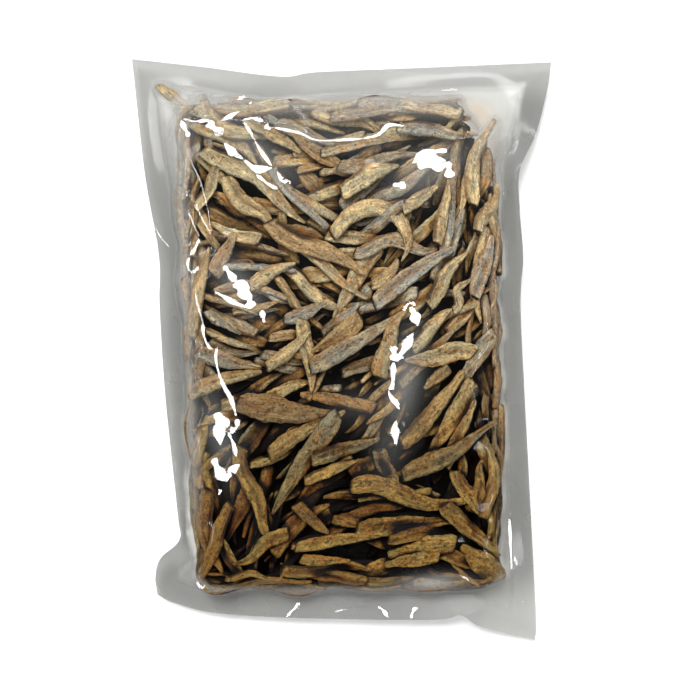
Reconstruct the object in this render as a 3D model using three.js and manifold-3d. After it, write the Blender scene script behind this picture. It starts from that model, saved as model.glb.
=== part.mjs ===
// A clear pouch, heat-sealed all round and packed tight with dried sprats, lying flat on its back.
// The sprats press against the film, so the solid has the pouch's outer form with the fish in relief.
//
// Millimetres, +Z up. X runs across the pouch and Y along it, and the origin is the middle of the
// underside. Seen from above, the pouch's top seal is at +Y.

import * as THREE from "three";
import { mergeVertices } from "three/addons/utils/BufferGeometryUtils.js";
import Module from "manifold-3d";

// ---- Sizes of the pouch ----
const FILL_THICK = 28; // from the flat underside to the top of the packed fish, before their relief
const SEAM_HIGH = 11; // height at which the upper and the lower sheet meet
const SEAL_THICK = 1; // the two sealed sheets, made stout enough to be a solid
const UPPER_RUN = 15; // how far in from the fill's edge the upper sheet levels out
const LOWER_RUN = 10; // the same for the lower sheet, which the table flattens
const WALL_ROUNDING = 2.5; // exponent of the walls' superellipse: 2 is round and more is squarer
const FILL_CORNER = 11; // radius of the fill's corners in plan
const CROWN_SAG = 2.2; // how far the two ends of the upper sheet lie below its middle
const LUMP_HIGH = 0.9; // height of the broad lumps in the upper sheet
const LUMP_LONG = 84; // distance between those lumps

// The pouch's cut edge, [x, y, z], clockwise from the top left corner. The sheets bow out over the fish
// and pull it in, so the seal tips up along the sides and droops to the corners.
const CUT_EDGE = {
  top: [
    [-100, 138.5, 6],
    [-65, 134, 9],
    [-29, 128.4, 15],
    [-12, 131, 12],
    [30, 133.6, 8],
    [100, 137, 6],
  ],
  right: [
    [100, 137, 6],
    [97.4, 122, 7],
    [92, 102, 9],
    [83.5, 84, 17],
    [83.7, 66, 15],
    [85.6, 44, 13],
    [84.1, 22, 15],
    [86.4, -22, 12],
    [92.3, -122, 6],
    [92.3, -138.5, 4],
  ],
  bottom: [
    [92.3, -138.5, 4],
    [66, -131.2, 10],
    [56, -125, 15],
    [42, -127.6, 12],
    [-20, -127.1, 10],
    [-60, -125, 8],
    [-80, -120.5, 6],
    [-88, -117, 5],
  ],
  left: [
    [-88, -117, 5],
    [-88.8, -108.5, 6],
    [-86, -99, 9],
    [-76, -89, 17],
    [-76.8, -76, 18],
    [-82.6, -22, 17],
    [-85.4, 20, 16],
    [-86, 44, 14],
    [-93.6, 84, 8],
    [-100, 138.5, 6],
  ],
};

// The packed fish in plan: a slightly skewed rectangle, with the line that its loops close on.
const FILL = {
  topLeft: [-79, 117],
  topRight: [73.5, 117.5],
  bottomRight: [76, -113.5],
  bottomLeft: [-68.5, -113.5],
};
const SPINE = { top: [-3, 44], bottom: [3, -44] };

// ---- Sizes of the sprats ----
const SPRAT_LONG = { least: 31, most: 54 };
const SPRAT_WIDE = { least: 0.16, most: 0.22 }; // as a share of the length
const SPRAT_THICK = 4.8;
const SPRAT_BEND = 34; // largest bend from end to end, in degrees
const SPRAT_CORNERS = 5; // of the flattened section, which has a ridge along the back
const RELIEF = 0.7; // height of a sprat's middle above the sheet that it presses on
const CELL = { wide: 14.6, long: 20.6 }; // one sprat lies in each cell of this size
const END_CLEAR = 1; // how far a sprat's ends stay inside the fill
const WALL_SPRATS = 20; // those that lie along the pouch's sides
const WALL_LONG = { least: 24, most: 34 }; // they are short, because the walls are steep
const WALL_CLEAR = 0.14; // the share of each side that they leave free at its corners
const WALL_INSET = 4.5; // how far in from the fill's edge their middles lie

// A headless dried sprat from its cut neck to its tail: [share of the length, share of the width].
const SPRAT_STATIONS = [
  [0.0, 0.52],
  [0.3, 1.0],
  [0.68, 0.62],
  [1.0, 0.16],
];

// How the sprats lie in each part of the pouch: [x, y, degrees from +X, spread in degrees].
const LIES = [
  [18, 107, 5, 12],
  [-50, 92, -42, 18],
  [-10, 52, -35, 20],
  [23, 80, 28, 18],
  [62, 60, 80, 12],
  [25, 32, 35, 20],
  [-53, 5, 5, 25],
  [-22, -40, 28, 22],
  [47, -33, 55, 14],
  [-56, -78, 75, 25],
  [10, -85, 5, 14],
  [61, -92, -45, 16],
];
const LIE_BLEND = 40; // how softly one lie passes into the next, in square mm

// ---- Small helpers ----
const DEGREE = Math.PI / 180;
const clamp01 = (v) => Math.min(1, Math.max(0, v));
const mix = (a, b, t) => a + (b - a) * t;

let seed = 20261;
function random() {
  seed = (seed * 16807) % 2147483647;
  return seed / 2147483647;
}
const eitherWay = (most) => (random() * 2 - 1) * most;
const within = ({ least, most }) => mix(least, most, random());

// ---- The pouch's form, as heights over the plan ----
const SIDES = [
  [FILL.topLeft, FILL.topRight],
  [FILL.topRight, FILL.bottomRight],
  [FILL.bottomRight, FILL.bottomLeft],
  [FILL.bottomLeft, FILL.topLeft],
];

// How far (x, y) lies inside one side of the fill, which runs clockwise from a to b.
function insideSide([a, b], x, y) {
  const dx = b[0] - a[0];
  const dy = b[1] - a[1];
  return (dy * (x - a[0]) - dx * (y - a[1])) / Math.hypot(dx, dy);
}

// How far (x, y) lies inside the fill's rounded outline.
function insideFill(x, y) {
  const [top, right, bottom, left] = SIDES.map((side) => insideSide(side, x, y));
  const across = Math.min(left, right);
  const along = Math.min(top, bottom);
  if (across < FILL_CORNER && along < FILL_CORNER)
    return FILL_CORNER - Math.hypot(FILL_CORNER - across, FILL_CORNER - along);
  return Math.min(across, along);
}

// 0 at the fill's edge, rising to 1 over the given run.
const wallShare = (inside, run) =>
  Math.pow(1 - Math.pow(1 - clamp01(inside / run), WALL_ROUNDING), 1 / WALL_ROUNDING);

function crownHeight(x, y) {
  const sag = CROWN_SAG * Math.pow(y / FILL.topRight[1], 2);
  const wave = (2 * Math.PI) / LUMP_LONG;
  return FILL_THICK - sag + LUMP_HIGH * Math.sin((x + 0.4 * y) * wave) * Math.cos((y - 0.3 * x) * wave);
}

const upperSheet = (x, y) =>
  mix(SEAM_HIGH, crownHeight(x, y), wallShare(insideFill(x, y), UPPER_RUN)) + SEAL_THICK / 2;
const lowerSheet = (x, y) => (SEAM_HIGH - SEAL_THICK / 2) * (1 - wallShare(insideFill(x, y), LOWER_RUN));

// ---- Lofting ----
// The triangles between two rings of point numbers, which may differ in how many points they have.
function bandBetween(inner, outer) {
  const triangles = [];
  const steps = [inner, outer].map((ring) => (ring.length > 1 ? ring.length : 0));
  let [i, o] = [0, 0];
  while (i < steps[0] || o < steps[1]) {
    const a = inner[i % inner.length];
    const b = outer[o % outer.length];
    const innerIsBehind = (i + 0.5) / steps[0] < (o + 0.5) / steps[1];
    if (o >= steps[1] || (i < steps[0] && innerIsBehind)) triangles.push(a, inner[++i % inner.length], b);
    else triangles.push(a, outer[++o % outer.length], b);
  }
  return triangles;
}

// A closed surface through rings of points, with a fan to the point first and to the point last.
function loft(first, rings, last) {
  const points = [];
  const numbered = [[first], ...rings, [last]].map((ring) => ring.map((point) => points.push(point) - 1));
  const triangles = numbered.slice(1).flatMap((ring, k) => bandBetween(numbered[k], ring));
  return new THREE.BufferGeometry()
    .setAttribute("position", new THREE.Float32BufferAttribute(points.flat(), 3))
    .setIndex(triangles);
}

// ---- The bare pouch ----
const PLACES = { top: 15, right: 20, bottom: 16, left: 21 }; // points along each side
const SKIRT_STEPS = [0, 0.45, 1]; // from the cut edge to the fill
const WALL_STEPS = { upper: [0.012, 0.045, 0.09, 0.16], lower: [0.02, 0.07, 0.14] }; // on towards the spine
const CROWN_STEPS = [
  { t: 0.4, every: 3 }, // the crown is nearly flat, so its loops have few points
  { t: 0.75, every: 9 },
];
const CORNER_TRIES = 12;

// The point at share t of a side of the fill, moved towards the middle where the corner is rounded.
function fillPoint([a, b], t) {
  const point = new THREE.Vector2(mix(a[0], b[0], t), mix(a[1], b[1], t));
  for (let i = 0; i < CORNER_TRIES; i++) {
    const outside = Math.max(0, -insideFill(point.x, point.y));
    point.setLength(point.length() - outside);
  }
  return [point.x, point.y];
}

function nearestOnSpine(x, y) {
  const spine = new THREE.Line3(new THREE.Vector3(...SPINE.bottom, 0), new THREE.Vector3(...SPINE.top, 0));
  const nearest = spine.closestPointToPoint(new THREE.Vector3(x, y, 0), true, new THREE.Vector3());
  return [nearest.x, nearest.y];
}

// For each place round the pouch, its points on the cut edge, on the fill's outline and on the spine.
function placesRound() {
  return Object.entries(CUT_EDGE).flatMap(([name, points], s) => {
    const curve = new THREE.CatmullRomCurve3(points.map((point) => new THREE.Vector3(...point)), false);
    return Array.from({ length: PLACES[name] }, (_, i) => {
      const t = i / PLACES[name];
      const fill = fillPoint(SIDES[s], t);
      return { cut: curve.getPointAt(t).toArray(), fill, spine: nearestOnSpine(...fill) };
    });
  });
}

// A point of the sealed skirt, face +1 above and -1 below.
function skirtPoint({ cut, fill }, t, face) {
  const height = mix(cut[2], SEAM_HIGH, t * t * (3 - 2 * t));
  return [mix(cut[0], fill[0], t), mix(cut[1], fill[1], t), height + (face * SEAL_THICK) / 2];
}

function barePouch() {
  const places = placesRound();
  const skirtRing = (t, face) => places.map((place) => skirtPoint(place, t, face));
  const sheetRing = (t, sheet, every = 1) =>
    places
      .filter((_, i) => i % every === 0)
      .map(({ fill, spine }) => {
        const [x, y] = [mix(fill[0], spine[0], t), mix(fill[1], spine[1], t)];
        return [x, y, sheet(x, y)];
      });
  const upper = [
    ...SKIRT_STEPS.map((t) => skirtRing(t, 1)),
    ...WALL_STEPS.upper.map((t) => sheetRing(t, upperSheet)),
    ...CROWN_STEPS.map(({ t, every }) => sheetRing(t, upperSheet, every)),
  ];
  const lower = [
    ...SKIRT_STEPS.map((t) => skirtRing(t, -1)),
    ...WALL_STEPS.lower.map((t) => sheetRing(t, lowerSheet)),
    ...CROWN_STEPS.map(({ t, every }) => sheetRing(t, lowerSheet, every)),
  ];
  return loft([0, 0, upperSheet(0, 0)], [...upper.reverse(), ...lower], [0, 0, 0]);
}

// ---- The sprats ----
// The mean of the lies round (x, y). It is taken at twice the angle, because a sprat lies the same way
// whichever end its tail is.
function lieAt(x, y) {
  const sum = { x: 0, y: 0, loose: 0, weight: 0 };
  for (const [lieX, lieY, degrees, loose] of LIES) {
    const weight = 1 / (LIE_BLEND + (x - lieX) ** 2 + (y - lieY) ** 2) ** 2;
    sum.x += weight * Math.cos(2 * degrees * DEGREE);
    sum.y += weight * Math.sin(2 * degrees * DEGREE);
    sum.loose += weight * loose;
    sum.weight += weight;
  }
  return { angle: Math.atan2(sum.y, sum.x) / 2, loose: (sum.loose / sum.weight) * DEGREE };
}

// The direction out of a sheet at (x, y), face +1 for the upper sheet and -1 for the lower one.
function outOfSheet(sheet, face, x, y) {
  const step = 1.5; // far enough apart to even out the sheet's sharp rise at the fill's edge
  const slopeX = (sheet(x + step, y) - sheet(x - step, y)) / (2 * step);
  const slopeY = (sheet(x, y + step) - sheet(x, y - step)) / (2 * step);
  return new THREE.Vector3(-slopeX, -slopeY, 1).multiplyScalar(face).normalize();
}

// A sprat pressed against a sheet with its middle at (x, y), bent in plan and following the sheet's slope.
function sprat({ x, y, angle, length, bend, sheet, face }) {
  const width = length * within(SPRAT_WIDE);
  const spine = SPRAT_STATIONS.map(([share]) => {
    const heading = angle + (bend * (share - 0.5)) / 2;
    const px = x + Math.cos(heading) * length * (share - 0.5);
    const py = y + Math.sin(heading) * length * (share - 0.5);
    const out = outOfSheet(sheet, face, px, py);
    return { out, point: new THREE.Vector3(px, py, sheet(px, py)).addScaledVector(out, RELIEF) };
  });
  const rings = spine.map(({ point, out }, k) => {
    const ahead = spine[Math.min(k + 1, spine.length - 1)].point;
    const behind = spine[Math.max(k - 1, 0)].point;
    const side = new THREE.Vector3().crossVectors(out, ahead.clone().sub(behind)).normalize();
    const share = SPRAT_STATIONS[k][1];
    return Array.from({ length: SPRAT_CORNERS }, (_, c) => {
      const turn = (c / SPRAT_CORNERS + 0.25) * 2 * Math.PI;
      return point
        .clone()
        .addScaledVector(side, (Math.cos(turn) * width * share) / 2)
        .addScaledVector(out, (Math.sin(turn) * SPRAT_THICK * Math.sqrt(share)) / 2)
        .toArray();
    });
  });
  return loft(spine[0].point.toArray(), rings, spine.at(-1).point.toArray());
}

// One sprat in each cell of the upper sheet, turned the way its neighbours lie.
function upperSprats() {
  const sprats = [];
  for (let y = FILL.bottomLeft[1] + CELL.long / 2; y < FILL.topLeft[1]; y += CELL.long)
    for (let x = FILL.topLeft[0] + CELL.wide / 2; x < FILL.topRight[0]; x += CELL.wide) {
      const middle = [x + eitherWay(CELL.wide / 2), y + eitherWay(CELL.long / 2)];
      const lie = lieAt(...middle);
      const angle = lie.angle + eitherWay(lie.loose);
      const length = within(SPRAT_LONG);
      const bend = eitherWay(SPRAT_BEND) * DEGREE;
      const endIsInside = (end) => {
        const reach = (end * length) / 2;
        return insideFill(middle[0] + reach * Math.cos(angle), middle[1] + reach * Math.sin(angle)) > END_CLEAR;
      };
      if (!endIsInside(-1) || !endIsInside(1)) continue;
      sprats.push(sprat({ x: middle[0], y: middle[1], angle, length, bend, sheet: upperSheet, face: 1 }));
    }
  return sprats;
}

// Sprats that lie along the four walls, every third one of a side below the seam.
function wallSprats() {
  const perSide = WALL_SPRATS / SIDES.length;
  return SIDES.flatMap(([a, b]) =>
    Array.from({ length: perSide }, (_, i) => {
      const above = i % 3 !== 0;
      const t = mix(WALL_CLEAR, 1 - WALL_CLEAR, (i + 0.5) / perSide);
      const inward = new THREE.Vector2(b[1] - a[1], a[0] - b[0]).setLength(WALL_INSET + eitherWay(1));
      return sprat({
        x: mix(a[0], b[0], t) + inward.x,
        y: mix(a[1], b[1], t) + inward.y,
        angle: Math.atan2(b[1] - a[1], b[0] - a[0]) + eitherWay(5) * DEGREE,
        length: within(WALL_LONG),
        bend: 0,
        sheet: above ? upperSheet : lowerSheet,
        face: above ? 1 : -1,
      });
    }),
  );
}

// ---- Joining ----
const wasm = await Module();
wasm.setup();

// A closed geometry as a solid. Only its positions count, and points that coincide become one.
function solidOf(geometry) {
  geometry.deleteAttribute("normal");
  geometry.deleteAttribute("uv");
  const merged = mergeVertices(geometry);
  return new wasm.Manifold(
    new wasm.Mesh({
      numProp: 3,
      vertProperties: new Float32Array(merged.getAttribute("position").array),
      triVerts: new Uint32Array(merged.index.array),
    }),
  );
}

function geometryOf(solid) {
  const mesh = solid.getMesh();
  return new THREE.BufferGeometry()
    .setAttribute("position", new THREE.BufferAttribute(mesh.vertProperties, 3))
    .setIndex(new THREE.BufferAttribute(mesh.triVerts, 1));
}

const TABLE = { across: 400, deep: 20 }; // a block under the pouch, which flattens what presses on it
const FINEST = 0.12; // details smaller than this are left out of the join

function packedPouch() {
  const table = new THREE.BoxGeometry(TABLE.across, TABLE.across, TABLE.deep).translate(0, 0, -TABLE.deep / 2);
  const joined = wasm.Manifold.union([barePouch(), ...upperSprats(), ...wallSprats()].map(solidOf))
    .subtract(solidOf(table))
    .simplify(FINEST);
  // The pouch is the largest body. The others are hollows that the sprats shut in, and are left solid.
  return joined.decompose().reduce((largest, body) => (body.volume() > largest.volume() ? body : largest));
}

const pouch = new THREE.Mesh(
  geometryOf(packedPouch()),
  new THREE.MeshStandardMaterial({ color: 0x9c8663, roughness: 0.35, metalness: 0 }),
);
pouch.name = "pouch_of_sprats";

const group = new THREE.Group();
group.add(pouch);

export default group;
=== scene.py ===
"""A clear sealed pouch packed tight with dried sprats, lying flat and seen from straight above.

The sprats are dropped one by one onto a height map, so that each rests on those below it. The ones that show
from above lie where the photo has them. The film is then stretched over them like a skin.
Lengths are in millimetres until a mesh is made, and X, Y and Z are those of the frame.
"""

import math

import bpy
import numpy as np
from bpy.props import FloatProperty, FloatVectorProperty, IntProperty, PointerProperty
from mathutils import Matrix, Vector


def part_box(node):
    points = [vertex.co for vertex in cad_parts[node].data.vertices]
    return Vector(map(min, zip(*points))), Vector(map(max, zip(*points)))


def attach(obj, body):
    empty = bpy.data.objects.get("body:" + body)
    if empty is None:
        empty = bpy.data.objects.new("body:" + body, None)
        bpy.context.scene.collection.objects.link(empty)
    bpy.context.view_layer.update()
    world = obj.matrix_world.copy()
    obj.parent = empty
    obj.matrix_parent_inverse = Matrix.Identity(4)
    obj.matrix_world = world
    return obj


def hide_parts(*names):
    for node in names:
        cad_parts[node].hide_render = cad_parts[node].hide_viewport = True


bl_info = {
    "name": "Pouch of Dried Sprats",
    "version": (1, 0, 0),
    "blender": (4, 5, 0),
    "location": "View3D > Sidebar > Sprats",
    "description": "Builds a clear sealed pouch packed with dried sprats",
    "category": "Object",
}

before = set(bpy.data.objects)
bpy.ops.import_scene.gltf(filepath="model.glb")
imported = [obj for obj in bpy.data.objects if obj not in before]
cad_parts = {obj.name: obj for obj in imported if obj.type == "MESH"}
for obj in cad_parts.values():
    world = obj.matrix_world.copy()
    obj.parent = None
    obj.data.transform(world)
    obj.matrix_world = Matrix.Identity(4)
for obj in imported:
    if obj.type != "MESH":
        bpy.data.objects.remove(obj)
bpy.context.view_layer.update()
NODE = "pouch_of_sprats"
BODY = "root"

# ---- The pouch, with the sizes that its solid has ----
CAD_HIGH = np.array(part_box(NODE)[1]) * 1000
HALF_WIDE, HALF_LONG = CAD_HIGH[0], CAD_HIGH[1]
FILL_THICK = 28  # from the lower sheet to the upper one, at the middle
SEAM_HIGH = 11  # where the two walls meet the seal
UPPER_RUN = 15  # from the fill's edge in to where the upper wall has levelled off
LOWER_RUN = 10
WALL_ROUNDING = 2.5  # 2 makes a round wall, and more makes it squarer
FILL_CORNER = 11  # radius
CROWN_SAG = 2.2  # from the middle to the two ends
LUMP_HIGH = 0.9
LUMP_LONG = 84
CURVE_STEPS = 24  # between two points of a smooth curve

# The cut edge, (x, y, z), clockwise from the top left corner.
CUT_EDGE = {
    "top": [(-100, 138.5, 6), (-65, 134, 9), (-29, 128.4, 15), (-12, 131, 12), (30, 133.6, 8), (100, 137, 6)],
    "right": [
        (100, 137, 6), (97.4, 122, 7), (92, 102, 9), (83.5, 84, 17), (83.7, 66, 15), (85.6, 44, 13),
        (84.1, 22, 15), (86.4, -22, 12), (92.3, -122, 6), (92.3, -138.5, 4),
    ],
    "bottom": [
        (92.3, -138.5, 4), (66, -131.2, 10), (56, -125, 15), (42, -127.6, 12),
        (-20, -127.1, 10), (-60, -125, 8), (-80, -120.5, 6), (-88, -117, 5),
    ],
    "left": [
        (-88, -117, 5), (-88.8, -108.5, 6), (-86, -99, 9), (-76, -89, 17), (-76.8, -76, 18),
        (-82.6, -22, 17), (-85.4, 20, 16), (-86, 44, 14), (-93.6, 84, 8), (-100, 138.5, 6),
    ],
}
FILL = [(-79, 117), (73.5, 117.5), (76, -113.5), (-68.5, -113.5)]  # clockwise from the top left

# ---- The photo, for the places of what it shows ----
PHOTO_SIDE = 700
PHOTO_MM = 0.475  # one pixel at the height of the seal
PHOTO_HIGH = 8  # that height
CAMERA_AWAY = 650  # from there up to the camera
CAMERA_OVER = (3.94, -0.14)
SENSOR = 36

# ---- The lamps that the film mirrors, in m and degrees ----
WINDOW_AWAY = 0.8
WINDOW_TILT = 47  # from straight up
WINDOW_SIDES = (0.1, 0.5)
WINDOW_AZIMUTHS = (0, 45, 90, 135, 180)
WINDOW_SPOTS = (-0.42, 0.42, 5)  # the points along a lamp that a fold may mirror: from, to and how many

FLOOR_SIDE = 6.0  # m

# The sprats that the photo shows whole, from the neck to the tail:
# (kind, width in mm, bend in degrees where it has only two points, pixels along its middle).
SHOWN_SPRATS = [
    ("golden", 5, 6, (300, 106), (372, 101)),
    ("grey", 6, -8, (330, 118), (398, 110)),
    ("golden", 5, 5, (462, 115), (402, 107)),
    ("grey", 7, 8, (398, 124), (478, 136)),
    ("golden", 7, -10, (246, 118), (300, 152)),
    ("grey", 6, 8, (276, 122), (340, 146)),
    ("golden", 5, 0, (157, 86), (204, 118)),
    ("golden", 5, 0, (200, 96), (222, 130)),
    ("grey", 6, 4, (186, 128), (184, 200)),
    ("golden", 6, -4, (196, 210), (222, 156)),
    ("golden", 6, 0, (338, 166), (284, 128)),
    ("rusty", 5, -8, (320, 152), (395, 138)),
    ("grey", 7, 8, (338, 166), (420, 151)),
    ("golden", 7, 10, (477, 232), (498, 184)),
    ("grey", 6, -8, (443, 253), (459, 164)),
    ("golden", 6, 8, (436, 244), (449, 178)),
    ("golden", 6, -14, (470, 205), (491, 116)),
    ("grey", 7, 4, (475, 298), (491, 235)),
    ("golden", 5, 0, (452, 310), (468, 276)),
    ("grey", 6, 12, (271, 166), (327, 228)),
    ("golden", 8, 14, (225, 175), (240, 200), (262, 214), (278, 232)),
    ("rusty", 5, 6, (293, 242), (368, 298)),
    ("grey", 7, 0, (354, 246), (438, 244)),
    ("grey", 7, -8, (370, 205), (440, 160)),
    ("golden", 6, 8, (402, 210), (438, 184)),
    ("golden", 9, -6, (340, 191), (399, 162)),
    ("golden", 7, 60, (370, 283), (399, 259)),
    ("grey", 8, -12, (374, 305), (452, 248)),
    ("golden", 7, -8, (427, 305), (468, 250)),
    ("golden", 9, -8, (205, 146), (307, 219)),
    ("golden", 10, 8, (270, 219), (364, 275)),
    ("golden", 8, 0, (332, 236), (352, 216), (378, 209), (400, 219), (411, 244), (404, 262)),
    ("grey", 7, -14, (214, 276), (236, 234)),
    ("golden", 6, 8, (248, 284), (295, 262)),
    ("grey", 6, 8, (207, 309), (241, 334)),
    ("grey", 6, -8, (284, 321), (327, 304)),
    ("grey", 6, 8, (321, 334), (359, 304)),
    ("golden", 7, -6, (302, 318), (312, 393)),
    ("golden", 9, -8, (361, 316), (312, 354)),
    ("grey", 8, 8, (309, 368), (406, 311)),
    ("golden", 6, 8, (266, 368), (311, 332)),
    ("grey", 7, 6, (196, 352), (261, 368)),
    ("golden", 7, -22, (189, 395), (261, 371)),
    ("golden", 7, 8, (221, 407), (282, 373)),
    ("golden", 6, -8, (262, 398), (311, 384)),
    ("rusty", 7, 10, (375, 410), (300, 395)),
    ("rusty", 8, 0, (383, 378), (384, 352), (392, 326), (408, 314)),
    ("golden", 7, 8, (411, 348), (449, 309)),
    ("golden", 9, 34, (475, 357), (406, 362)),
    ("golden", 6, -6, (449, 366), (425, 389)),
    ("grey", 11, 8, (236, 404), (339, 414)),
    ("golden", 7, -8, (268, 455), (345, 411)),
    ("grey", 9, 8, (339, 414), (271, 514)),
    ("golden", 8, 22, (243, 446), (268, 534)),
    ("golden", 7, 8, (232, 505), (202, 580)),
    ("golden", 6, -8, (287, 530), (234, 566)),
    ("grey", 6, 8, (295, 505), (329, 534)),
    ("golden", 6, -8, (304, 482), (357, 461)),
    ("grey", 7, 8, (311, 461), (379, 437)),
    ("golden", 8, -90, (354, 480), (384, 461)),
    ("grey", 7, 8, (377, 450), (397, 484)),
    ("golden", 8, 24, (399, 443), (463, 371)),
    ("golden", 8, -8, (472, 380), (425, 470)),
    ("golden", 6, 8, (445, 468), (474, 400)),
    ("grey", 8, -24, (406, 482), (495, 425)),
    ("golden", 6, -4, (502, 404), (499, 505)),
    ("golden", 7, 8, (486, 520), (493, 448)),
    ("golden", 6, -8, (474, 514), (484, 461)),
    ("golden", 7, 8, (456, 471), (479, 514)),
    ("golden", 9, -8, (350, 491), (466, 502)),
    ("golden", 6, 8, (334, 520), (406, 505)),
    ("rusty", 5, -6, (332, 520), (380, 528)),
    ("golden", 8, -4, (356, 529), (463, 523)),
    ("golden", 6, 8, (388, 537), (463, 530)),
    ("golden", 6, -8, (295, 548), (380, 536)),
    ("rusty", 5, 8, (300, 559), (350, 561)),
    ("rusty", 4, 4, (225, 575), (275, 577)),
    ("golden", 9, 8, (456, 544), (388, 556)),
    ("golden", 6, 6, (440, 556), (385, 566)),
    ("golden", 8, -8, (443, 505), (499, 557)),
    ("golden", 13, 8, (499, 582), (463, 547)),
]

# How the others lie in each part of the pouch: (x, y, degrees from +X, spread in degrees).
LIES = [
    (18, 107, 5, 12), (-50, 92, -42, 18), (-10, 52, -35, 20), (23, 80, 28, 18), (62, 60, 80, 12),
    (25, 32, 35, 20), (-53, 5, 5, 25), (-22, -40, 28, 22), (47, -33, 55, 14), (-56, -78, 75, 25),
    (10, -85, 5, 14), (61, -92, -45, 16),
]

TABLE_GAP = 0.25  # the lowest that a sprat comes, over the lower sheet of film

KINDS = ("golden", "grey", "rusty")
CONTENTS = (
    *(f"{kind}_sprats" for kind in KINDS),
    *(f"{kind}_sprats_below" for kind in KINDS),
    "wall_sprats",
    "underside_sprats",
)

# No fish lie beyond the line through these two pixels, at the top right.
BARE_FROM, BARE_TO = (456, 96), (503, 176)

UPPER_HALF_FROM = -10  # y, in mm, from which further sprats are laid on top
SHOWN_WIDER = 1.1  # the shown sprats are wider than they measure, because others cover their edges
PROUD = 2.2  # the most that a sprat stands above the pouch's form, in mm
UPPER_LENGTHS, UNDER_LENGTHS, WALL_LENGTHS = (22, 46), (28, 52), (26, 46)
WALL_WIDTHS = (5.5, 7.5)
SLENDERNESS = (0.14, 0.24)  # a scattered sprat's width as a share of its length
WIDEST = 9
BEND_SPREAD = 22  # degrees
KIND_SHARES, WALL_KIND_SHARES = (0.55, 0.36, 0.09), (0.45, 0.45, 0.1)  # of golden, grey and rusty ones
UPPER_CLEAR, UNDER_CLEAR = 1.5, 6  # how far a sprat's middle line stays inside the fill, in mm
UNDER_DEEP, UNDER_PRESSED = 8, 0.4  # how thick the lower sprats lie, and how far they press into the film
LAY_TRIES = 14  # places tried for each scattered sprat
NEAR_WALL, WALL_SPREAD = 9, 0.16  # within this many mm of the wall a sprat lies along it, within this angle
WALL_INSET = 2.4  # from the fill's outline in to the sprats that line it
WALL_ENDS_IN = (-1.2, 2.5)  # from that line in to their ends
WALL_ROWS = (4.6, 9.5, 14.5, 19.0)  # the heights of their rows
WALL_STEPS = (0.82, 1.0)  # from one to the next in its row, as a share of its length
WALL_SKIPPED = 4  # where no sprat stands, the row goes on after this many mm
WALL_HIGHEST = 21
OUTLINE_STEPS = 720
BEYOND_FILL = 200.0  # farther from the middle than any point of the fill, in mm

# Stations along a sprat and corners round it, for each group of them.
SHOWN_MESH, BELOW_MESH, DEEP_MESH, WALL_MESH, UNDER_MESH = (50, 24), (26, 14), (18, 10), (24, 14), (22, 12)
DEEP_SHARE = 0.85  # of the lowest layer, which is meshed as deep

NOTHING = -1e3  # the height of a cell with no fish

# ---- Small helpers ----


def linear(hex_colour):
    """An sRGB hex colour as linear red, green, blue and 1."""
    parts = [int(hex_colour[i : i + 2], 16) / 255 for i in (1, 3, 5)]
    return (*(c / 12.92 if c <= 0.04045 else ((c + 0.055) / 1.055) ** 2.4 for c in parts), 1.0)


def colour_property(name, description, hex_colour):
    return FloatVectorProperty(
        name=name, description=description, default=linear(hex_colour), size=4, min=0, max=1, subtype="COLOR"
    )


def count_property(name, description, default):
    return IntProperty(name=name, description=description, default=default, min=0)


def share_property(name, description, default):
    return FloatProperty(name=name, description=description, default=default, min=0, max=1)


def mix(a, b, t):
    return a + (b - a) * t


def smoothstep(low, high, value):
    t = np.clip((value - low) / (high - low), 0, 1)
    return t * t * (3 - 2 * t)


def add_node(tree, kind, settings=None, links=None):
    """A node of a kind. settings sets its attributes, or its inputs by name or number, and links joins
    outputs to its inputs."""
    node = tree.nodes.new(kind)
    for key, value in (settings or {}).items():
        if isinstance(key, str) and hasattr(node, key):
            setattr(node, key, value)
        else:
            node.inputs[key].default_value = value
    for key, socket in (links or {}).items():
        tree.links.new(socket, node.inputs[key])
    return node


def mesh_piece(name, points, faces, material, attributes=None):
    """A smooth mesh piece from points in mm, on the pouch's body, with its finish taken from a slot."""
    mesh = bpy.data.meshes.new(name)
    mesh.vertices.add(len(points))
    mesh.vertices.foreach_set("co", (np.asarray(points, dtype=np.float32) / 1000).ravel())
    corners = np.concatenate([np.asarray(group, dtype=np.int32).ravel() for group in faces])
    sizes = np.concatenate([np.full(len(group), np.shape(group)[1], dtype=np.int32) for group in faces])
    mesh.loops.add(len(corners))
    mesh.loops.foreach_set("vertex_index", corners)
    mesh.polygons.add(len(sizes))
    mesh.polygons.foreach_set("loop_start", np.concatenate([[0], np.cumsum(sizes)[:-1]]).astype(np.int32))
    mesh.update(calc_edges=True)
    mesh.validate()
    mesh.shade_smooth()
    for label, values in (attributes or {}).items():
        values = np.asarray(values, dtype=np.float32)
        layer = mesh.attributes.new(label, "FLOAT" if values.ndim == 1 else "FLOAT_VECTOR", "POINT")
        layer.data.foreach_set("value" if values.ndim == 1 else "vector", values.ravel())
    mesh.materials.append(material)
    piece = bpy.data.objects.new(name, mesh)
    bpy.context.scene.collection.objects.link(piece)
    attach(piece, BODY)
    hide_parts(NODE)
    return piece


def grid_quads(rows, columns):
    """The faces of a grid of points that are numbered row by row."""
    cell = (np.arange(rows - 1)[:, None] * columns + np.arange(columns - 1)).ravel()
    return np.stack([cell, cell + 1, cell + columns + 1, cell + columns], -1)


def new_material(name):
    """An empty material, and its node tree."""
    material = bpy.data.materials.new(name)
    material.use_nodes = True
    material.node_tree.nodes.clear()
    return material, material.node_tree


# ---- The pouch's form over its plan ----


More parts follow.
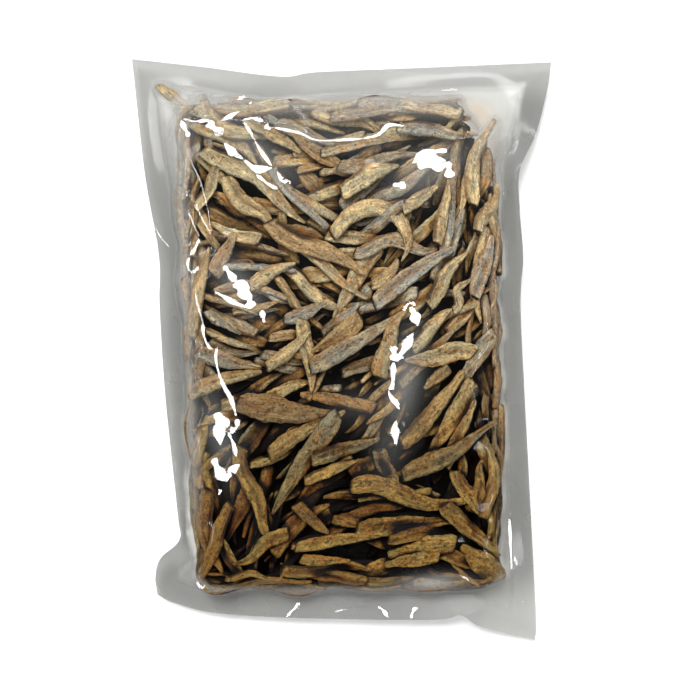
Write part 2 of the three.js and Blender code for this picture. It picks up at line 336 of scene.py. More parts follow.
def inside_fill(x, y):
    """How far (x, y) lies inside the fill's rounded outline."""
    depths = []
    for k, (ax, ay) in enumerate(FILL):
        bx, by = FILL[(k + 1) % 4]
        depths.append(((by - ay) * (x - ax) - (bx - ax) * (y - ay)) / math.hypot(bx - ax, by - ay))
    along = np.minimum(depths[0], depths[2])
    across = np.minimum(depths[1], depths[3])
    corner = FILL_CORNER - np.hypot(FILL_CORNER - across, FILL_CORNER - along)
    in_corner = (across < FILL_CORNER) & (along < FILL_CORNER)
    return np.where(in_corner, corner, np.minimum(across, along))


def wall_share(inside, run):
    """0 at the fill's edge, rising to 1 over the given run."""
    return (1 - (1 - np.clip(inside / run, 0, 1)) ** WALL_ROUNDING) ** (1 / WALL_ROUNDING)


def crown_height(x, y):
    """The height of the upper sheet away from its walls."""
    wave = 2 * math.pi / LUMP_LONG
    lumps = np.sin((x + 0.4 * y) * wave) * np.cos((y - 0.3 * x) * wave)
    return FILL_THICK - CROWN_SAG * (y / FILL[1][1]) ** 2 + LUMP_HIGH * lumps


def upper_sheet(x, y):
    return mix(SEAM_HIGH, crown_height(x, y), wall_share(inside_fill(x, y), UPPER_RUN))


def lower_sheet(x, y):
    return SEAM_HIGH * (1 - wall_share(inside_fill(x, y), LOWER_RUN))


def smooth_curve(points, count):
    """count points evenly spaced along a Catmull-Rom curve through the given points."""
    points = np.asarray(points, dtype=float)
    padded = np.vstack([2 * points[0] - points[1], points, 2 * points[-1] - points[-2]])
    t = np.linspace(0, 1, CURVE_STEPS, endpoint=False)[:, None]
    spans = []
    for a, b, c, d in zip(padded, padded[1:], padded[2:], padded[3:]):
        cubic = -a + 3 * b - 3 * c + d
        square = 2 * a - 5 * b + 4 * c - d
        spans.append(b + 0.5 * ((c - a) * t + square * t**2 + cubic * t**3))
    dense = np.vstack([*spans, points[-1:]])
    travelled = np.concatenate([[0], np.cumsum(np.linalg.norm(np.diff(dense, axis=0), axis=1))])
    wanted = np.linspace(0, travelled[-1], count)
    return np.column_stack([np.interp(wanted, travelled, column) for column in dense.T])


def from_photo(px, py):
    """Where a pixel of the photo lies in the frame, in mm, on the pouch's upper side."""
    half = PHOTO_SIDE / 2
    high = FILL_THICK
    for _ in range(3):
        scale = PHOTO_MM * (CAMERA_AWAY + PHOTO_HIGH - high) / CAMERA_AWAY
        x, y = CAMERA_OVER[0] + (px - half) * scale, CAMERA_OVER[1] - (py - half) * scale
        high = float(upper_sheet(x, y))
    return x, y


def bare(x, y):
    """Whether (x, y) lies in the pouch's top right corner, which has no fish."""
    (ax, ay), (bx, by) = from_photo(*BARE_FROM), from_photo(*BARE_TO)
    return (bx - ax) * (y - ay) - (by - ay) * (x - ax) > 0


# ---- One sprat ----


class Sprat:
    """A headless dried sprat: its middle line in plan, its size, and how drying has shaped and turned it."""

    STATIONS = 28
    SHARES = np.linspace(0, 1, STATIONS)
    WIDTH_AT = [0, 0.02, 0.06, 0.14, 0.28, 0.45, 0.62, 0.78, 0.9, 0.97, 1.0]
    LEAF = [0.5, 0.64, 0.78, 0.92, 1.0, 0.91, 0.72, 0.46, 0.27, 0.18, 0.1]
    STRAP = [0.55, 0.74, 0.88, 0.96, 1.0, 0.96, 0.85, 0.68, 0.48, 0.34, 0.2]
    THICKNESSES = (2.4, 4.6)  # the least and the most, in mm

    def __init__(self, kind, line, width, rng, rolled=0.26):
        self.kind = kind
        self.line = smooth_curve(line, self.STATIONS)
        self.length = float(np.linalg.norm(np.diff(self.line, axis=0), axis=1).sum())
        swaying = 2 * math.pi * self.SHARES * rng.uniform(0.7, 1.3) + rng.uniform(0, 6)
        sway = np.sin(swaying) * rng.normal(0, 0.03)
        self.line = self.line + self.sideways(self.line) * (sway * self.length)[:, None]
        self.width = width
        self.thick = float(np.clip(width * rng.uniform(0.36, 0.58), *self.THICKNESSES))
        self.tone = rng.uniform()  # how pale its skin is
        self.seed = rng.uniform(0, 100)  # where the pattern of its skin starts
        turned = rng.choice([0, 1, -1], p=[1 - rolled, rolled / 2, rolled / 2])  # onto one side or the other
        self.roll = np.radians(turned * rng.uniform(35, 85) + rng.normal(0, 9))
        self.twist = np.radians(rng.normal(0, 22))  # from the neck to the tail
        self.leafy = rng.uniform(0.35, 1.0)  # how much of a leaf's outline it has, and not a strap's
        self.slit = rng.uniform(0.5, 1) if rng.uniform() < 0.45 else 0.0  # how far its belly is cut open
        self.tail = rng.uniform(1.2, 2.4) if rng.uniform() < 0.3 else rng.uniform(0.5, 1)  # how wide it ends
        form = rng.choice(3, p=[0.3, 0.45, 0.25])  # hollow, folded or plump
        self.hollow = (rng.uniform(0.3, 0.6), rng.uniform(0.1, 0.3), rng.uniform(0, 0.12))[form]
        self.folds = rng.uniform(1.6, 3.4)  # how many run down each flank
        self.fold_deep = (0.04, rng.uniform(0.08, 0.2), 0.05)[form]
        self.curl = rng.normal(0, 0.16)  # how far its rims turn up
        self.phases = rng.uniform(0, 2 * math.pi, 12)  # where each of its waves and wrinkles starts
        self.height = np.zeros(self.STATIONS)
        self.lean = np.zeros(self.STATIONS)  # with the pouch's wall, in radians

    def half_sizes(self, u):
        """Half the width and half the thickness of the body at shares u of its length."""
        strap, leaf = (np.interp(u, self.WIDTH_AT, form) for form in (self.STRAP, self.LEAF))
        share = mix(strap, leaf, self.leafy)
        share = share * (1 + (self.tail - 1) * smoothstep(0.84, 1.0, u) * 0.6)
        p = self.phases
        wobble = 1 + 0.08 * np.sin(6 * u + p[0]) + 0.03 * np.sin(17 * u + p[1])
        return self.width / 2 * share * wobble, self.thick / 2 * (0.32 + 0.68 * share**0.7)

    def roll_at(self, u):
        """How far the body is turned about its middle line at shares u of its length."""
        return self.roll + self.twist * (u - 0.5) + np.interp(u, self.SHARES, self.lean)

    def line_at(self, u):
        """The middle line in plan, and its height, at shares u of the length."""
        line = np.column_stack([np.interp(u, self.SHARES, self.line[:, k]) for k in range(2)])
        return line, np.interp(u, self.SHARES, self.height)

    def section(self, u):
        """The turned body's cross-section as a tilted ellipse: half its breadth in plan, how much it rises
        for each mm sideways, and half its height at the middle."""
        wide, thick = self.half_sizes(u)
        roll = self.roll_at(u)
        breadth = np.hypot(wide * np.cos(roll), thick * np.sin(roll))
        tilt = (wide**2 - thick**2) * np.sin(roll) * np.cos(roll) / breadth**2
        return breadth, tilt, wide * thick / breadth

    def sideways(self, line):
        """The unit direction across the line in plan, at each of its points."""
        ahead = np.gradient(line, axis=0)
        ahead /= np.linalg.norm(ahead, axis=1, keepdims=True)
        return np.column_stack([-ahead[:, 1], ahead[:, 0]])

    def sunk(self, u, s, face):
        """How far each flank has sunk in drying, from 0 at the rims to 1. s goes from the back, -1, to the
        belly, 1, and face tells one flank from the other."""
        p = self.phases + 2.3 * face
        valley = self.hollow * np.exp(-(((s - 0.22 * np.sin(4 * u + p[2])) / 0.4) ** 2))
        folds = self.fold_deep * (1 - np.cos(math.pi * (self.folds * s + 0.5 * np.sin(3 * u + p[3])) + p[4]))
        along, aside = u * self.length, s * self.width / 2
        crinkle = np.sin(along * 1.7 + 1.3 * aside + p[5]) * np.sin(along * 0.9 - 2.1 * aside + p[6])
        crinkle += np.sin(along * 3.3 - 0.9 * aside + p[7]) * np.sin(along * 0.7 + 2.9 * aside + p[8])
        return np.clip(valley + folds + 0.09 * crinkle, -0.15, 0.85)

    def flanks(self, u, belly, flank):
        """The body before it is turned and bent: how far each point lies sideways and how far up, how open
        its belly is cut there, and how far it has sunk. u runs along the body, belly and flank round it."""
        p = self.phases
        wide, thick = self.half_sizes(u)
        sunk = np.where(flank >= 0, self.sunk(u, belly, 0), self.sunk(u, belly, 1))
        slit = self.slit * smoothstep(0.2, 0.7, belly) * smoothstep(0.6, 0.35, u) * smoothstep(0.0, 0.06, u)
        body = np.sign(flank) * np.abs(flank) ** 0.65 * (1 - sunk) * (1 - 0.24 * belly)
        body = body * (1 - 0.6 * slit)
        ragged = np.sin(17 * u + p[9] + 2 * belly) + np.sin(41 * u + p[10] + belly)
        ragged += 0.7 * np.sin(83 * u + p[11])
        dents = np.sin(13 * u + 2 * belly + p[0]) * np.sin(7 * u - 1.5 * belly + p[4])
        lumps = np.sin(31 * u + 3 * belly + p[1]) * np.sin(19 * u - 4 * belly + p[2])
        uneven = (0.14 * dents + 0.07 * lumps) * np.sign(flank)
        side = wide * belly * (1 + 0.032 * ragged - 0.28 * slit)
        rise = thick * (body + uneven) + self.curl * wide * (belly**2 - 0.5)
        return side, rise, slit, sunk

    def skin(self, along, around):
        """The surface as points (along, around, 3) in mm. Then, for each point, its place on the unbent body,
        how raw and how sunk it is, and its side, from the back, -1, to the belly, 1."""
        u = np.linspace(0, 1, along)
        turn = np.linspace(0, 2 * math.pi, around, endpoint=False)[None, :]
        belly, flank = np.cos(turn), np.sin(turn)
        us = u[:, None]
        side, rise, slit, sunk = self.flanks(us, belly, flank)
        neck_slant = (0.35 * side + 0.2 * rise) * (1 - smoothstep(0.0, 0.12, us))
        roll = self.roll_at(u)[:, None]
        plan = side * np.cos(roll) - rise * np.sin(roll)
        up = side * np.sin(roll) + rise * np.cos(roll)
        line, height = self.line_at(u)
        across = self.sideways(line)
        ahead = np.column_stack([across[:, 1], -across[:, 0]])
        x = line[:, :1] + across[:, :1] * plan + ahead[:, :1] * neck_slant
        y = line[:, 1:] + across[:, 1:] * plan + ahead[:, 1:] * neck_slant
        surface = np.stack([x, y, height[:, None] + up], axis=-1)
        unbent = np.stack(np.broadcast_arrays(us * self.length, side, rise), axis=-1)
        cut_neck = 0.9 * (1 - smoothstep(0, 0.035, us))
        raw = np.broadcast_to(np.maximum(slit, cut_neck), side.shape)
        return surface, unbent, raw, sunk, np.broadcast_to(belly, side.shape)


def sprat_piece(name, sprats, material, depth_at=None, flip=False):
    """The given sprats as one mesh of closed bodies. Each is (sprat, stations along, corners around).
    depth_at gives how deep a point lies in the heap. flip turns the heap over, for those seen from below."""
    points, four, three = [], [], []
    values = {"skin": [], "raw": [], "sunk": [], "tone": [], "belly": []}
    start = 0
    for sprat, along, around in sprats:
        ring = np.arange(around)
        after = (ring + 1) % around
        row = np.arange(along - 1)[:, None] * around
        following = row + around
        quads = np.stack([row + ring, row + after, following + after, following + ring], -1).reshape(-1, 4)
        body, last = along * around, (along - 1) * around
        neck_band = np.stack([body + ring, body + after, after, ring], -1)
        neck_fan = np.stack([np.full(around, body + around), body + after, body + ring], -1)
        tail_fan = np.stack([np.full(around, body + around + 1), last + ring, last + after], -1)
        surface, unbent, raw, sunk, belly = sprat.skin(along, around)
        neck = surface[0]
        inward = surface[1].mean(axis=0) - neck.mean(axis=0)
        inward *= min(0.35 * sprat.thick, 1.2) / max(np.linalg.norm(inward), 1e-6)
        inner = mix(neck, neck.mean(axis=0), 0.38) + inward
        middle = neck.mean(axis=0) + 1.5 * inward
        end = surface[-1].mean(axis=0)
        points.append(np.vstack([surface.reshape(-1, 3), inner, middle, end]))
        skin = np.vstack([unbent.reshape(-1, 3), mix(unbent[0], 0, 0.3), [0, 0, 0], unbent[-1].mean(axis=0)])
        values["skin"].append(skin + np.array([sprat.seed * 7, sprat.seed * 3, sprat.seed]))
        values["raw"].append(np.concatenate([raw.ravel(), np.ones(around + 1), [0.3]]))
        values["sunk"].append(np.concatenate([sunk.ravel(), np.full(around + 1, 0.6), [0.2]]))
        values["tone"].append(np.full(body + around + 2, sprat.tone))
        values["belly"].append(np.concatenate([belly.ravel(), np.zeros(around + 2)]))
        four += [quads + start, neck_band + start]
        three += [neck_fan + start, tail_fan + start]
        start += body + around + 2
    points, four, three = np.vstack(points), np.vstack(four), np.vstack(three)
    attributes = {key: np.concatenate(parts) for key, parts in values.items()}
    # Painted shade: 0 at the top, rising to 1 toward the pouch's lower end, where the fish are painted
    # darker, their painted depth shade is deepened, and a little more rust and raw flesh shows.
    attributes["lower_shade_and_rust"] = smoothstep(45, -75, points[:, 1])
    if depth_at is not None:
        attributes["depth"] = depth_at(*points.T) * mix(0.56, 1.75, attributes["lower_shade_and_rust"])
    if flip:
        points[:, 2] *= -1
        points[:, 2] = np.maximum(points[:, 2], TABLE_GAP)
    else:
        four, three = four[:, ::-1], three[:, ::-1]
    return mesh_piece(name, points, [four, three], material, attributes)


# ---- The heap ----


class Heap:
    """Packed sprats as a height map of the pouch's plan: how high they reach in each cell, and how high they
    should in the end."""

    CELL = 0.5
    SLOPE_OVER = 2  # mm over which the pouch's slope is taken
    STEEPEST = 1.1  # the most that a sprat leans, in radians
    STIFF = 0.16  # the share of its length over which a sprat stays straight
    PRESSED = 75  # the percentage of its points that lie clear of what is below
    CREST_REACH, CREST_OVER, SETTLE_OVER, NEAR = 2.5, 6, 3, 1.6  # mm
    OWN_SHADE = 0.35  # the share of the depth below the pouch's form in a point's shade
    RESTS_AT = (-0.8, -0.4, 0, 0.4, 0.8)  # where a sprat rests on others, in half breadths from its middle
    TOP_STEP = 0.35  # mm between the points of a sprat's top that go into the map
    TOP_ACROSS = (-0.95, 0.95, 21)  # from and to, in half breadths, and how many points

    def __init__(self, bottom, top):
        self.xs = np.arange(-HALF_WIDE - 4, HALF_WIDE + 4, self.CELL)
        self.ys = np.arange(-HALF_LONG - 4, HALF_LONG + 4, self.CELL)
        x, y = np.meshgrid(self.xs, self.ys)
        self.high = bottom(x, y)
        self.wanted = top(x, y)
        self.inside = inside_fill(x, y)
        self.slope_y, self.slope_x = np.gradient(blur(self.wanted, self.SLOPE_OVER / self.CELL), self.CELL)
        self.sprats = []

    def cells(self, x, y):
        return nearest_cells(self.xs, self.ys, self.CELL, x, y)

    def drop(self, sprat):
        """Lays a sprat on what is under it, leaning as the pouch's wall does. It is stiff, so it bridges
        hollows, and soft enough to press in a bit."""
        across = sprat.sideways(sprat.line)
        cells = self.cells(*sprat.line.T)
        slope = self.slope_x[cells] * across[:, 0] + self.slope_y[cells] * across[:, 1]
        sprat.lean = np.clip(np.arctan(slope), -self.STEEPEST, self.STEEPEST)
        u = sprat.SHARES
        breadth, tilt, half = sprat.section(u)
        need = np.full(sprat.STATIONS, NOTHING)
        for share in self.RESTS_AT:
            aside = breadth * share
            cells = self.cells(*(sprat.line + across * aside[:, None]).T)
            need = np.maximum(need, self.high[cells] - tilt * aside + half * math.sqrt(1 - share * share))
        reach = np.subtract.outer(u, u) / self.STIFF
        weight = np.exp(-reach * reach / 2)
        smooth = weight @ need / weight.sum(axis=1)
        sprat.height = smooth + max(0.0, float(np.percentile(need - smooth, self.PRESSED)))
        self.raise_to(sprat)
        self.sprats.append(sprat)

    def raise_to(self, sprat):
        """Raises the map to the top of a sprat."""
        u = np.linspace(0, 1, max(24, int(sprat.length / self.TOP_STEP)))
        line, height = sprat.line_at(u)
        breadth, tilt, half = (part[:, None] for part in sprat.section(u))
        share = np.linspace(*self.TOP_ACROSS)[None, :]
        aside = breadth * share
        across = sprat.sideways(line)
        x, y = (line[:, k : k + 1] + across[:, k : k + 1] * aside for k in range(2))
        top = height[:, None] + tilt * aside + half * np.sqrt(1 - share * share)
        np.maximum.at(self.high, self.cells(x, y), top)

    def settle(self):
        """Moves each sprat up or down, so that the heap's top takes the pouch's form."""
        crest = blur(grow(self.high, int(self.CREST_REACH / self.CELL)), self.CREST_OVER / self.CELL)
        shift = blur((self.wanted - crest) * smoothstep(-1, 4, self.inside), self.SETTLE_OVER / self.CELL)
        for sprat in self.sprats:
            sprat.height = sprat.height + sample(shift, self.xs, self.ys, *sprat.line.T)
        self.near_high = blur(self.high + shift, self.NEAR / self.CELL)

    def press(self, proud):
        """Presses each sprat down until it stands no more than the given distance above the wanted top."""
        for sprat in self.sprats:
            breadth, tilt, half = sprat.section(sprat.SHARES)
            top = sprat.height + half + 0.5 * np.abs(tilt) * breadth
            over = top - sample(self.wanted, self.xs, self.ys, *sprat.line.T) - proud
            sprat.height = sprat.height - np.maximum(over, 0)

    def depth_at(self, x, y, z):
        """How deep a point lies in the shade of what stands round it."""
        below_top = sample(self.wanted, self.xs, self.ys, x, y) - z
        below_neighbours = sample(self.near_high, self.xs, self.ys, x, y) - z
        return self.OWN_SHADE * below_top + below_neighbours


def nearest_cells(xs, ys, cell, x, y):
    """The row and the column of the raster's cell nearest to each point (x, y)."""
    col = np.clip(((x - xs[0]) / cell).round().astype(int), 0, len(xs) - 1)
    row = np.clip(((y - ys[0]) / cell).round().astype(int), 0, len(ys) - 1)
    return row, col


def blur(field, radius):
    """A field blurred by three box blurs along each axis."""
    size = max(1, int(round(radius)))
    for axis in (0, 1):
        for _ in range(3):
            first, last = field.take([0] * (size + 1), axis), field.take([-1] * size, axis)
            padded = np.concatenate([first, field, last], axis)
            total = np.cumsum(padded, axis=axis)
            count = field.shape[axis]
            upper = total.take(range(2 * size + 1, 2 * size + 1 + count), axis)
            field = (upper - total.take(range(count), axis)) / (2 * size + 1)
    return field


def grow(field, cells):
    """Each cell raised to the highest cell within a square of the given half width."""
    for axis in (0, 1):
        grown = field.copy()
        for step in range(1, cells + 1):
            for way in (-step, step):
                grown = np.maximum(grown, np.roll(field, way, axis))
        field = grown
    return field


def sample(field, xs, ys, x, y):
    """The field's value at (x, y), between its cells."""
    fx = np.clip((x - xs[0]) / (xs[1] - xs[0]), 0, len(xs) - 1.001)
    fy = np.clip((y - ys[0]) / (ys[1] - ys[0]), 0, len(ys) - 1.001)
    col, row = fx.astype(int), fy.astype(int)
    tx, ty = fx - col, fy - row
    low = mix(field[row, col], field[row, col + 1], tx)
    high = mix(field[row + 1, col], field[row + 1, col + 1], tx)
    return mix(low, high, ty)


def lie_at(x, y):
    """The mean of the lies round (x, y), as an angle and a spread in radians. It is taken at twice the angle,
    because a sprat lies the same way whichever end its tail is."""
    total = np.zeros(4)
    for lie_x, lie_y, degrees, loose in LIES:
        weight = 1 / (40 + (x - lie_x) ** 2 + (y - lie_y) ** 2) ** 2
        twice = math.radians(2 * degrees)
        total += weight * np.array([math.cos(twice), math.sin(twice), math.radians(loose), 1])
    return math.atan2(total[1], total[0]) / 2, total[2] / total[3]


def bent_line(x, y, angle, length, bend):
    """A middle line of the given length through (x, y), bent by an angle from end to end."""
    u = np.linspace(-0.5, 0.5, 9)
    heading = angle + bend * u
    step = np.column_stack([np.cos(heading), np.sin(heading)]) * length / 8
    line = np.cumsum(step, axis=0)
    return line - line[4] + np.array([x, y])


def scattered_sprat(heap, rng, lengths, low=FILL[2][1], clear=UPPER_CLEAR):
    """A sprat laid the way its neighbours lie, in the deepest of several hollows. At the wall it lies along
    it. None comes back where no place is clear."""
    best, best_high = None, math.inf
    for _ in range(LAY_TRIES):
        x = rng.uniform(FILL[0][0], FILL[2][0])
        y = rng.uniform(low, FILL[0][1])
        angle, spread = lie_at(x, y)
        if inside_fill(x, y) < NEAR_WALL:
            at_side = min(x - FILL[3][0], FILL[2][0] - x) < min(y - FILL[2][1], FILL[0][1] - y)
            angle, spread = (math.pi / 2 if at_side else 0), WALL_SPREAD
        angle += rng.normal(0, spread) + math.pi * rng.integers(2)
        length = rng.uniform(*lengths)
        line = bent_line(x, y, angle, length, math.radians(rng.normal(0, BEND_SPREAD)))
        if inside_fill(line[:, 0], line[:, 1]).min() < clear or bare(line[:, 0], line[:, 1]).any():
            continue
        cells = heap.cells(line[:, 0], line[:, 1])
        high = float(np.mean(heap.high[cells] - heap.wanted[cells]))
        if high < best_high:
            best, best_high = (line, length), high
    if best is None:
        return None
    line, length = best
    kind = rng.choice(KINDS, p=KIND_SHARES)
    return Sprat(kind, line, min(length * rng.uniform(*SLENDERNESS), WIDEST), rng)


def shown_sprat(kind, width, bend, *pixels, rng):
    """A sprat that the photo shows, where the photo has it."""
    points = [from_photo(px, py) for px, py in pixels]
    if len(points) == 2:
        (ax, ay), (bx, by) = points
        chord = math.hypot(bx - ax, by - ay)
        turn = math.radians(bend)
        arc = chord * (turn / 2) / math.sin(turn / 2) if turn else chord
        line = bent_line(0, 0, math.atan2(by - ay, bx - ax), arc, turn)
        points = line - (line[0] + line[-1]) / 2 + np.array([(ax + bx) / 2, (ay + by) / 2])
    return Sprat(kind, points, SHOWN_WIDER * width, rng, rolled=0)


def upper_heap(settings):
    """The sprats that show from above, dropped one on another, with those that the photo shows on top."""
    rng = np.random.default_rng(settings.seed)
    deep = settings.deep * 1000

    def bottom(x, y):
        return np.where(inside_fill(x, y) > 0, upper_sheet(x, y) - deep, skirt_height(x, y))

    heap = Heap(bottom, upper_sheet)
    lowest = FILL[2][1]
    counts = (settings.deep_count, settings.middle_count, settings.upper_extra)
    for count, low in zip(counts, (lowest, lowest, UPPER_HALF_FROM)):
        for _ in range(count):
            sprat = scattered_sprat(heap, rng, UPPER_LENGTHS, low)
            if sprat is not None:
                heap.drop(sprat)
    for shown in SHOWN_SPRATS:
        heap.drop(shown_sprat(*shown, rng=rng))
    heap.settle()
    heap.press(PROUD)
    return heap


def under_heap(settings):
    """The sprats that show from below. They are pressed flat on the lower sheet, and are laid upside down."""
    rng = np.random.default_rng(settings.seed + 1)
    heap = Heap(lambda x, y: -lower_sheet(x, y) - UNDER_DEEP, lambda x, y: -lower_sheet(x, y) - UNDER_PRESSED)
    for _ in range(settings.under_count):
        sprat = scattered_sprat(heap, rng, UNDER_LENGTHS, clear=UNDER_CLEAR)
        if sprat is not None:
            heap.drop(sprat)
    heap.settle()
    heap.press(0)
    return heap


def fill_outline(inset):
    """The fill's outline, the given distance in from its edge."""
    angle = np.linspace(0, 2 * math.pi, OUTLINE_STEPS, endpoint=False)
    near, far = np.zeros(OUTLINE_STEPS), np.full(OUTLINE_STEPS, BEYOND_FILL)
    for _ in range(24):
        middle = (near + far) / 2
        within = inside_fill(middle * np.cos(angle), middle * np.sin(angle)) > inset
        near, far = np.where(within, middle, near), np.where(within, far, middle)
    return np.column_stack([near * np.cos(angle), near * np.sin(angle)])


def wall_sprats(settings):
    """Rows of sprats that stand on edge, pressed against the pouch's steep sides."""
    rng = np.random.default_rng(settings.seed + 2)
    sprats = []
    for row_high in WALL_ROWS:
        outline = fill_outline(WALL_INSET)
        outline = np.vstack([outline, outline[: OUTLINE_STEPS // 3]])
        outward = outline / np.linalg.norm(outline, axis=1)[:, None]
        travelled = np.concatenate([[0], np.cumsum(np.linalg.norm(np.diff(outline, axis=0), axis=1))])
        place = rng.uniform(0, 20)
        around = travelled[OUTLINE_STEPS]
        while place < around:
            length = rng.uniform(*WALL_LENGTHS)
            at = np.linspace(place, place + length, 9)
            line = np.column_stack([np.interp(at, travelled, column) for column in outline.T])
            way = np.column_stack([np.interp(at, travelled, column) for column in outward.T])
            ends_in = rng.uniform(*WALL_ENDS_IN), rng.uniform(*WALL_ENDS_IN)
            line = line - way * np.linspace(*ends_in, 9)[:, None]
            if rng.uniform() < 0.5:
                line = line[::-1]
            if bare(line[:, 0], line[:, 1]).any():
                place += WALL_SKIPPED
                continue
            sprat = Sprat(rng.choice(KINDS, p=WALL_KIND_SHARES), line, rng.uniform(*WALL_WIDTHS), rng)
            sprat.roll = math.pi / 2 + rng.normal(0, 0.25)
            sprat.twist = rng.normal(0, 0.3)
            rise = np.linspace(-0.5, 0.5, sprat.STATIONS) * rng.normal(0, 4.5)
            sprat.height = np.clip(row_high + rng.normal(0, 0.8) + rise, WALL_ROWS[0], WALL_HIGHEST)
            sprats.append(sprat)
            place += length * rng.uniform(*WALL_STEPS)
    return sprats


# ---- The film ----
SEAL_WIDE = 11.3
SEAL_NARROWER = 3.6  # at the right-hand waist
WAIST_AT, WAIST_LONG = 78, 18
SEAL_SOFT = 1.8  # half the width over which the milky seal turns clear
FILM_CELL = 1.0
FILM_LOWEST = 0.1
COVERED_SHARE = 0.4  # of fish round a cell, above which the film isn't sealed there

# The points across and along each sheet: near an edge, in the middle, and the share of the sheet that lies
# near an edge.
UPPER_POINTS = ((50, 172, 0.15), (60, 232, 0.13))
LOWER_POINTS = ((30, 84, 0.15), (36, 120, 0.13))

FILM_OVER = 0.5  # the film's clearance over the sprats, before it is smoothed
FILM_STIFF = 1  # how far the film's own stiffness smooths it
STRETCH_ROUNDS = ((4, 160), (2, 120), (1, 140))  # cells between the points, and rounds of pulling them taut
STRETCH_START = 5  # cells over which the sheet is smoothed before that
SEAL_REACH = 1.5  # how far in over the fill's edge the seal may reach
FAR_OUT = 30  # farther than this outside the fill, every cell counts as sealed

# Where on each triangle of the fish its height is read, as shares of its two sides.
READ_AT = ((0, 0), (0.5, 0), (0, 0.5), (0.5, 0.5), (0.33, 0.33), (0.2, 0.6), (0.6, 0.2))
SHEETS_APART = 0.3  # between the two sheets where they are sealed

# How much light the milky film throws back, from 0 to 1, at each side of the pouch and in its bottom right
# corner: where it is sealed, where it hangs slack between fish and seal, and over the fish along the walls.
# The differences from side to side are painted shade and painted reflection.
SEAL_GREYS = {"top": 0.3, "left": 0.19, "right": 0.16, "bottom": 0.195, "corner": 0.37}
SLACK_GREYS = {"top": 0.57, "left": 0.26, "right": 0.24, "bottom": 0.22, "corner": 0.36}
WALL_GREYS = {"top": 0.62, "left": 0.44, "right": 0.3, "bottom": 0.24, "corner": 0.3}
SIDE_DARKENS = 0.75  # how far the seal takes the right side's grey up to its top corner
WALL_HAZE = 0.85  # the share of the slack film's milkiness along the walls, a painted haze for the reflection on the steep film
STEEP_GLOSS = 0.16  # how glossy the film is on the pouch's steep walls

PLEAT = 1.6  # the widest half of one fold, in mm
PLEATS_OVERLAP = 1.4
PLEATS_SPREAD = 0.8  # how far apart the folds of a wide crease lie, as a share of its width
CREASE_STEP = 0.5  # between the points along a fold
CREASE_ACROSS = (-1.4, -0.9, 0, 0.9, 1.4)  # where the five points across a fold lie, in half widths

